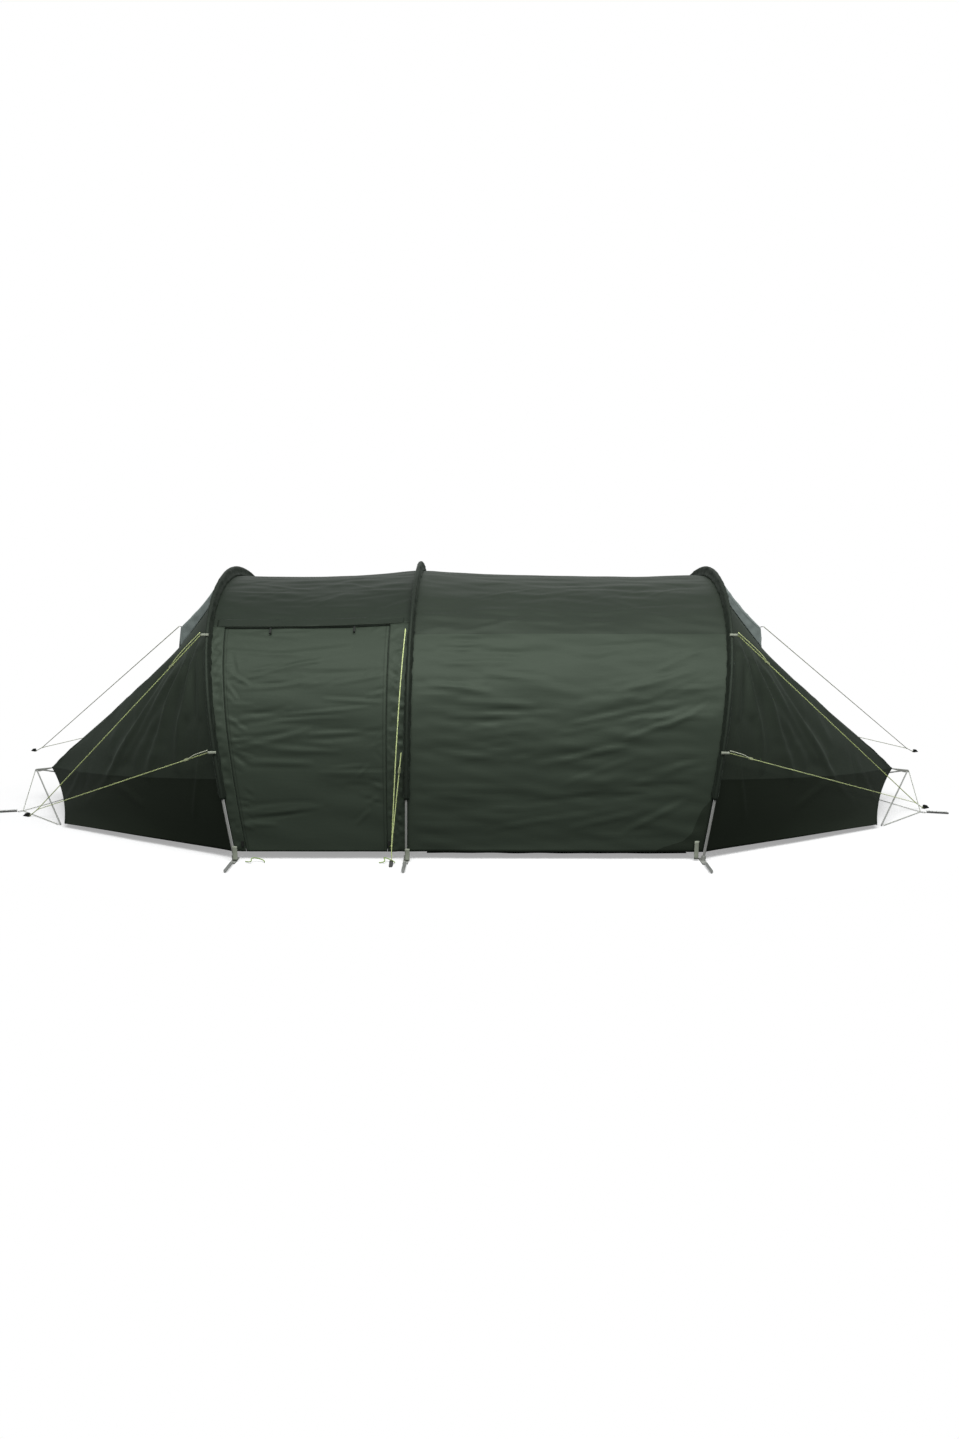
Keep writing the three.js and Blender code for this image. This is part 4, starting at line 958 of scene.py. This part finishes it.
for place, side in (("left", -1), ("right", 1)):
    hoop = HOOPS[place]
    half_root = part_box("vent_hood_" + place)[1].y
    panel, _ = end_geometry(place, side, np.linspace(0, 1, 121), np.linspace(0, 1, 241))
    panel = panel.reshape(-1, 3)
    rows, columns = 37, 61
    s = np.linspace(0, 1, rows)[:, None]
    c = np.linspace(-1, 1, columns)[None]
    root_y = half_root * c
    cosine = (np.abs(root_y) / (hoop.half - SIDE_INSET)) ** (SIDE_POWER / 2)
    root_z = (hoop.height - TOP_INSET) * (1 - cosine**2) ** (1 / TOP_POWER) + 0.008
    root_x = hoop.lean_x(root_z + TOP_INSET) + side * 0.019
    tip_y = HOOD_TIP_HALF * c
    tip_z = HOOD_TIP_Z - 0.012 * c**2
    tip_x = side * (HOOD_TIP_X - 0.014 * np.abs(c) ** 3) + 0 * c
    sag = -0.010 * np.sin(math.pi * s)
    top = np.stack(
        [root_x + (tip_x - root_x) * s, root_y + (tip_y - root_y) * s, root_z + (tip_z - root_z) * s + sag], 2
    )
    drop = np.linspace(0, 1, 13)[:, None]
    lip = np.stack([tip_x + side * 0.020 * drop, tip_y * (1 - 0.03 * drop), tip_z - HOOD_LIP * drop], 2)
    grid = np.concatenate([top, lip[1:]], 0)
    if side < 0:
        grid = grid[::-1]
    u, v = cloth_uv(grid)
    amount = 0.0016 * waves(u, v, 81, 0.3, 0.12)
    amount += creases(u, v, *HOOD_FOLDS)
    grid = grid + normals_of(grid) * amount[..., None]
    run = np.minimum(u, u.max() - u)
    mid = columns // 2
    from_root = u if side > 0 else u.max() - u
    fold_line = np.abs(from_root - np.linalg.norm(top[-1, mid] - top[0, mid])) - 0.004
    hood = cloth_sheet(
        f"vent_hood_{place}_cloth", grid, (u, v), M["hood"], dark=nowhere(grid),
        stitch=np.minimum(run - 0.010, fold_line),
    )
    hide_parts("vent_hood_" + place)

    # A gusset closes each side, from the hood's edge down to the end panel.
    for label, edge in (("near", 0), ("far", columns - 1)):
        line = np.concatenate([top[:, edge], lip[1:6, edge]], 0)
        foot = np.array([[x, y, min(z - 0.002, height_near(panel, x, y) + 0.004)] for x, y, z in line])
        d = np.linspace(0, 1, 15)[None, :, None]
        gusset = line[:, None] + (foot - line)[:, None] * d
        tuck = 0.0010 * np.sin(math.pi * d[..., 0]) * waves(gusset[..., 0], gusset[..., 2], 84, 0.10, 0.08)
        gusset[..., 1] += tuck
        if (side < 0) == (label == "near"):
            gusset = gusset[:, ::-1]
        size = cloth_uv(gusset)
        made = cloth_sheet(
            f"vent_gusset_{place}_{label}", gusset, size, M["hood"],
            dark=nowhere(gusset), stitch=size[1] - 0.006,
        )
    # A webbing tab at the lip's middle takes the far guy line.
    tip_tab = np.array([side * (HOOD_TIP_X + 0.010), 0, HOOD_TIP_Z - 0.034])
    guy_end = np.array([side * FAR_GUY_X, 0, FAR_GUY_Z])
    line = tip_tab + (guy_end - tip_tab) * np.linspace(0, 1, 9)[:, None]
    tube(f"hood_tab_{place}", line, M["sleeve_webbing"], 0.008, 0.0014)
    # Dark mesh fills the opening below the lip.
    low_edge = lip[7] * [1, 0.97, 1]
    sill = np.array([[x, y, height_near(panel, x, y) + 0.006] for x, y, _ in low_edge - [side * 0.10, 0, 0]])
    d = np.linspace(0, 1, 15)[:, None, None]
    net = low_edge[None] + (sill - low_edge)[None] * d
    if side > 0:
        net = net[::-1]
    made = cloth_sheet(f"vent_mesh_{place}", net, cloth_uv(net), M["mesh"], thick=MESH_CLOTH)

# ---- Inner tent and groundsheet ----

low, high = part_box("inner_tent")
half = (high.y - low.y) / 2
INNER_FOOT = 0.004  # the inner tent is sewn to the groundsheet, so its foot meets it
INNER_BELOW_FLY = 0.1
BATHTUB = 0.13  # height of the dark edge that rises from the groundsheet


def inner_outline(n, inset=0.0):
    """The inner tent's arch as heights over places across the tunnel."""
    side_inset = right.half - half + inset
    line = right.arch(side_inset, TOP_INSET + INNER_BELOW_FLY + inset, INNER_FOOT, np.linspace(0, 1, n))
    return line[:, 1], line[:, 2]


rows, columns = 61, 161
y, z = inner_outline(columns)
x = np.linspace(low.x + 0.004, high.x - 0.004, rows)
grid = np.stack(np.broadcast_arrays(x[:, None], y[None], z[None]), 2)
u, v = cloth_uv(grid)
amount = 0.003 * waves(u, v, 91, 0.5, 0.2) - 0.005
amount = amount + creases(u, v, 92, 50, (0, 1.08), (0, 2.8), (0.1, 0.3), (0.1, 0.5), (0.008, 0.016), 0.003)
grid = grid + normals_of(grid) * amount[..., None]
bathtub = BATHTUB - grid[..., 2]
made = cloth_sheet("inner_tent_cloth", grid, (u, v), M["inner"], dark=bathtub, stitch=bathtub)
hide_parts("inner_tent")

# The inner doorway's half width, its lower edge and its top.
door_half, sill, head = 0.48, 0.12, 0.86
REAR_CENTRE = 0.35  # height of the point that the rear wall is drawn round
for label, x_at, has_door in (("porch", low.x + 0.003, True), ("rear", high.x - 0.003, False)):
    a = np.linspace(0 if has_door else 0.004, 1, 31)[:, None]
    ring_y, ring_z = inner_outline(121, 0.003)
    if has_door:
        # From the doorway's edge out to the wall's outline, so the doorway stays open.
        angle = np.linspace(0, 1, 121)
        turns = [0, 0.18, 0.3, 0.7, 0.82, 1]
        corner_y = np.interp(angle, turns, [-door_half] * 3 + [door_half] * 3)
        corner_z = np.interp(angle, turns, [INNER_FOOT, sill, head, head, sill, INNER_FOOT])
        py = corner_y[None] + (ring_y - corner_y)[None] * a
        pz = corner_z[None] + (ring_z - corner_z)[None] * a
    else:
        py = ring_y[None] * a
        pz = REAR_CENTRE + (ring_z - REAR_CENTRE)[None] * a
    inwards = 1 if has_door else -1
    ripple = 0.003 * waves(py, pz, 95, 0.3, 0.2)
    wall = np.stack([x_at + ripple * inwards * 0.5 + 0.002 * inwards, py, pz], 2)
    bathtub = BATHTUB - pz
    made = cloth_sheet(
        f"inner_wall_{label}", wall, (py, pz), M["inner"], dark=bathtub, stitch=bathtub, flip=has_door
    )
    if has_door:
        x = np.array([[x_at + 0.002]])
        y = np.linspace(-door_half, door_half, 61)[None]
        z = np.linspace(INNER_FOOT, sill, 9)[:, None]
        panel = np.stack(np.broadcast_arrays(x, y, z), 2)
        made = cloth_sheet("inner_sill", panel, (panel[..., 1], panel[..., 2]), M["ground"])

low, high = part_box("groundsheet")
x = np.linspace(low.x + 0.001, high.x - 0.001, 71)[:, None]
y = np.linspace(low.y + 0.001, high.y - 0.001, 91)[None]
lumps = np.clip(0.0034 + 0.0012 * waves(x, y, 97, 0.3, 0.25), 0.0015, 0.0062)
grid = np.stack(np.broadcast_arrays(x, y, lumps), 2)
made = cloth_sheet("groundsheet_cloth", grid, (grid[..., 0], grid[..., 1]), M["ground"])
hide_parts("groundsheet")

# ---- Stage and light ----

# The oval round the tent beyond which the floor is plain white: half sizes, start and fade.
OVAL_X, OVAL_Y = 2.9, 1.5
OVAL_FROM = 0.70
OVAL_FADE = 5.0

floor = bpy.data.objects.new("floor", bpy.data.meshes.new("floor"))
floor.data.from_pydata([(-40, -20, 0), (40, -20, 0), (40, 60, 0), (-40, 60, 0)], [], [(0, 1, 2, 3)])
scene.collection.objects.link(floor)
paper, tree, shader = new_material("floor_paper", 0.9)
tree.nodes.remove(shader)
output = tree.nodes["Material Output"]
pale = node(tree, "ShaderNodeBsdfDiffuse", Color=(0.72, 0.72, 0.72, 1))
dim = node(tree, "ShaderNodeBsdfDiffuse", Color=(0.10, 0.10, 0.10, 1))
glow = node(tree, "ShaderNodeEmission", Color=(1, 1, 1, 1), Strength=0.34)
seen = node(tree, "ShaderNodeAddShader")
tree.links.new(pale.outputs[0], seen.inputs[0])
tree.links.new(glow.outputs[0], seen.inputs[1])
# Away from the tent the floor is plain white, so it meets the white background unseen.
place = node(tree, "ShaderNodeTexCoord").outputs["Object"]
squash = node(tree, "ShaderNodeVectorMath", operation="MULTIPLY")
squash.inputs[1].default_value = (1 / OVAL_X, 1 / OVAL_Y, 1.0)
tree.links.new(place, squash.inputs[0])
reach = node(tree, "ShaderNodeVectorMath", operation="LENGTH")
tree.links.new(squash.outputs[0], reach.inputs[0])
beyond = maths(tree, "SUBTRACT", reach.outputs["Value"], OVAL_FROM)
share = maths(tree, "MULTIPLY", beyond, OVAL_FADE, clamp=True)
plain = node(tree, "ShaderNodeEmission", Color=(1, 1, 1, 1), Strength=1.0)
shown = mix_shader(tree, share, seen.outputs[0], plain.outputs[0])
path = node(tree, "ShaderNodeLightPath").outputs["Is Camera Ray"]
tree.links.new(mix_shader(tree, path, dim.outputs[0], shown), output.inputs[0])
floor.data.materials.append(paper)

world = bpy.data.worlds.new("studio")
world.use_nodes = True
scene.world = world
wt = world.node_tree
background = wt.nodes["Background"]
white = node(wt, "ShaderNodeBackground", Color=(1, 1, 1, 1), Strength=1.0)
background.inputs["Color"].default_value = (0.95, 0.98, 1.0, 1)
background.inputs["Strength"].default_value = 0.30
path = node(wt, "ShaderNodeLightPath").outputs["Is Camera Ray"]
sky = mix_shader(wt, path, background.outputs[0], white.outputs[0])
wt.links.new(sky, wt.nodes["World Output"].inputs[0])


def area_light(name, place, target, size, power):
    data = bpy.data.lights.new(name, "AREA")
    data.shape = "RECTANGLE"
    data.size, data.size_y = size
    data.energy = power
    made = bpy.data.objects.new(name, data)
    made.location = place
    made.rotation_euler = (Vector(target) - Vector(place)).to_track_quat("-Z", "Y").to_euler()
    scene.collection.objects.link(made)


area_light("key", (0.3, -2.9, 4.6), (0.0, -0.3, 0.6), (5.5, 2.4), 300.0)
area_light("back", (0.0, 3.6, 3.6), (0.0, 0.4, 0.4), (6.0, 3.0), 36.0)
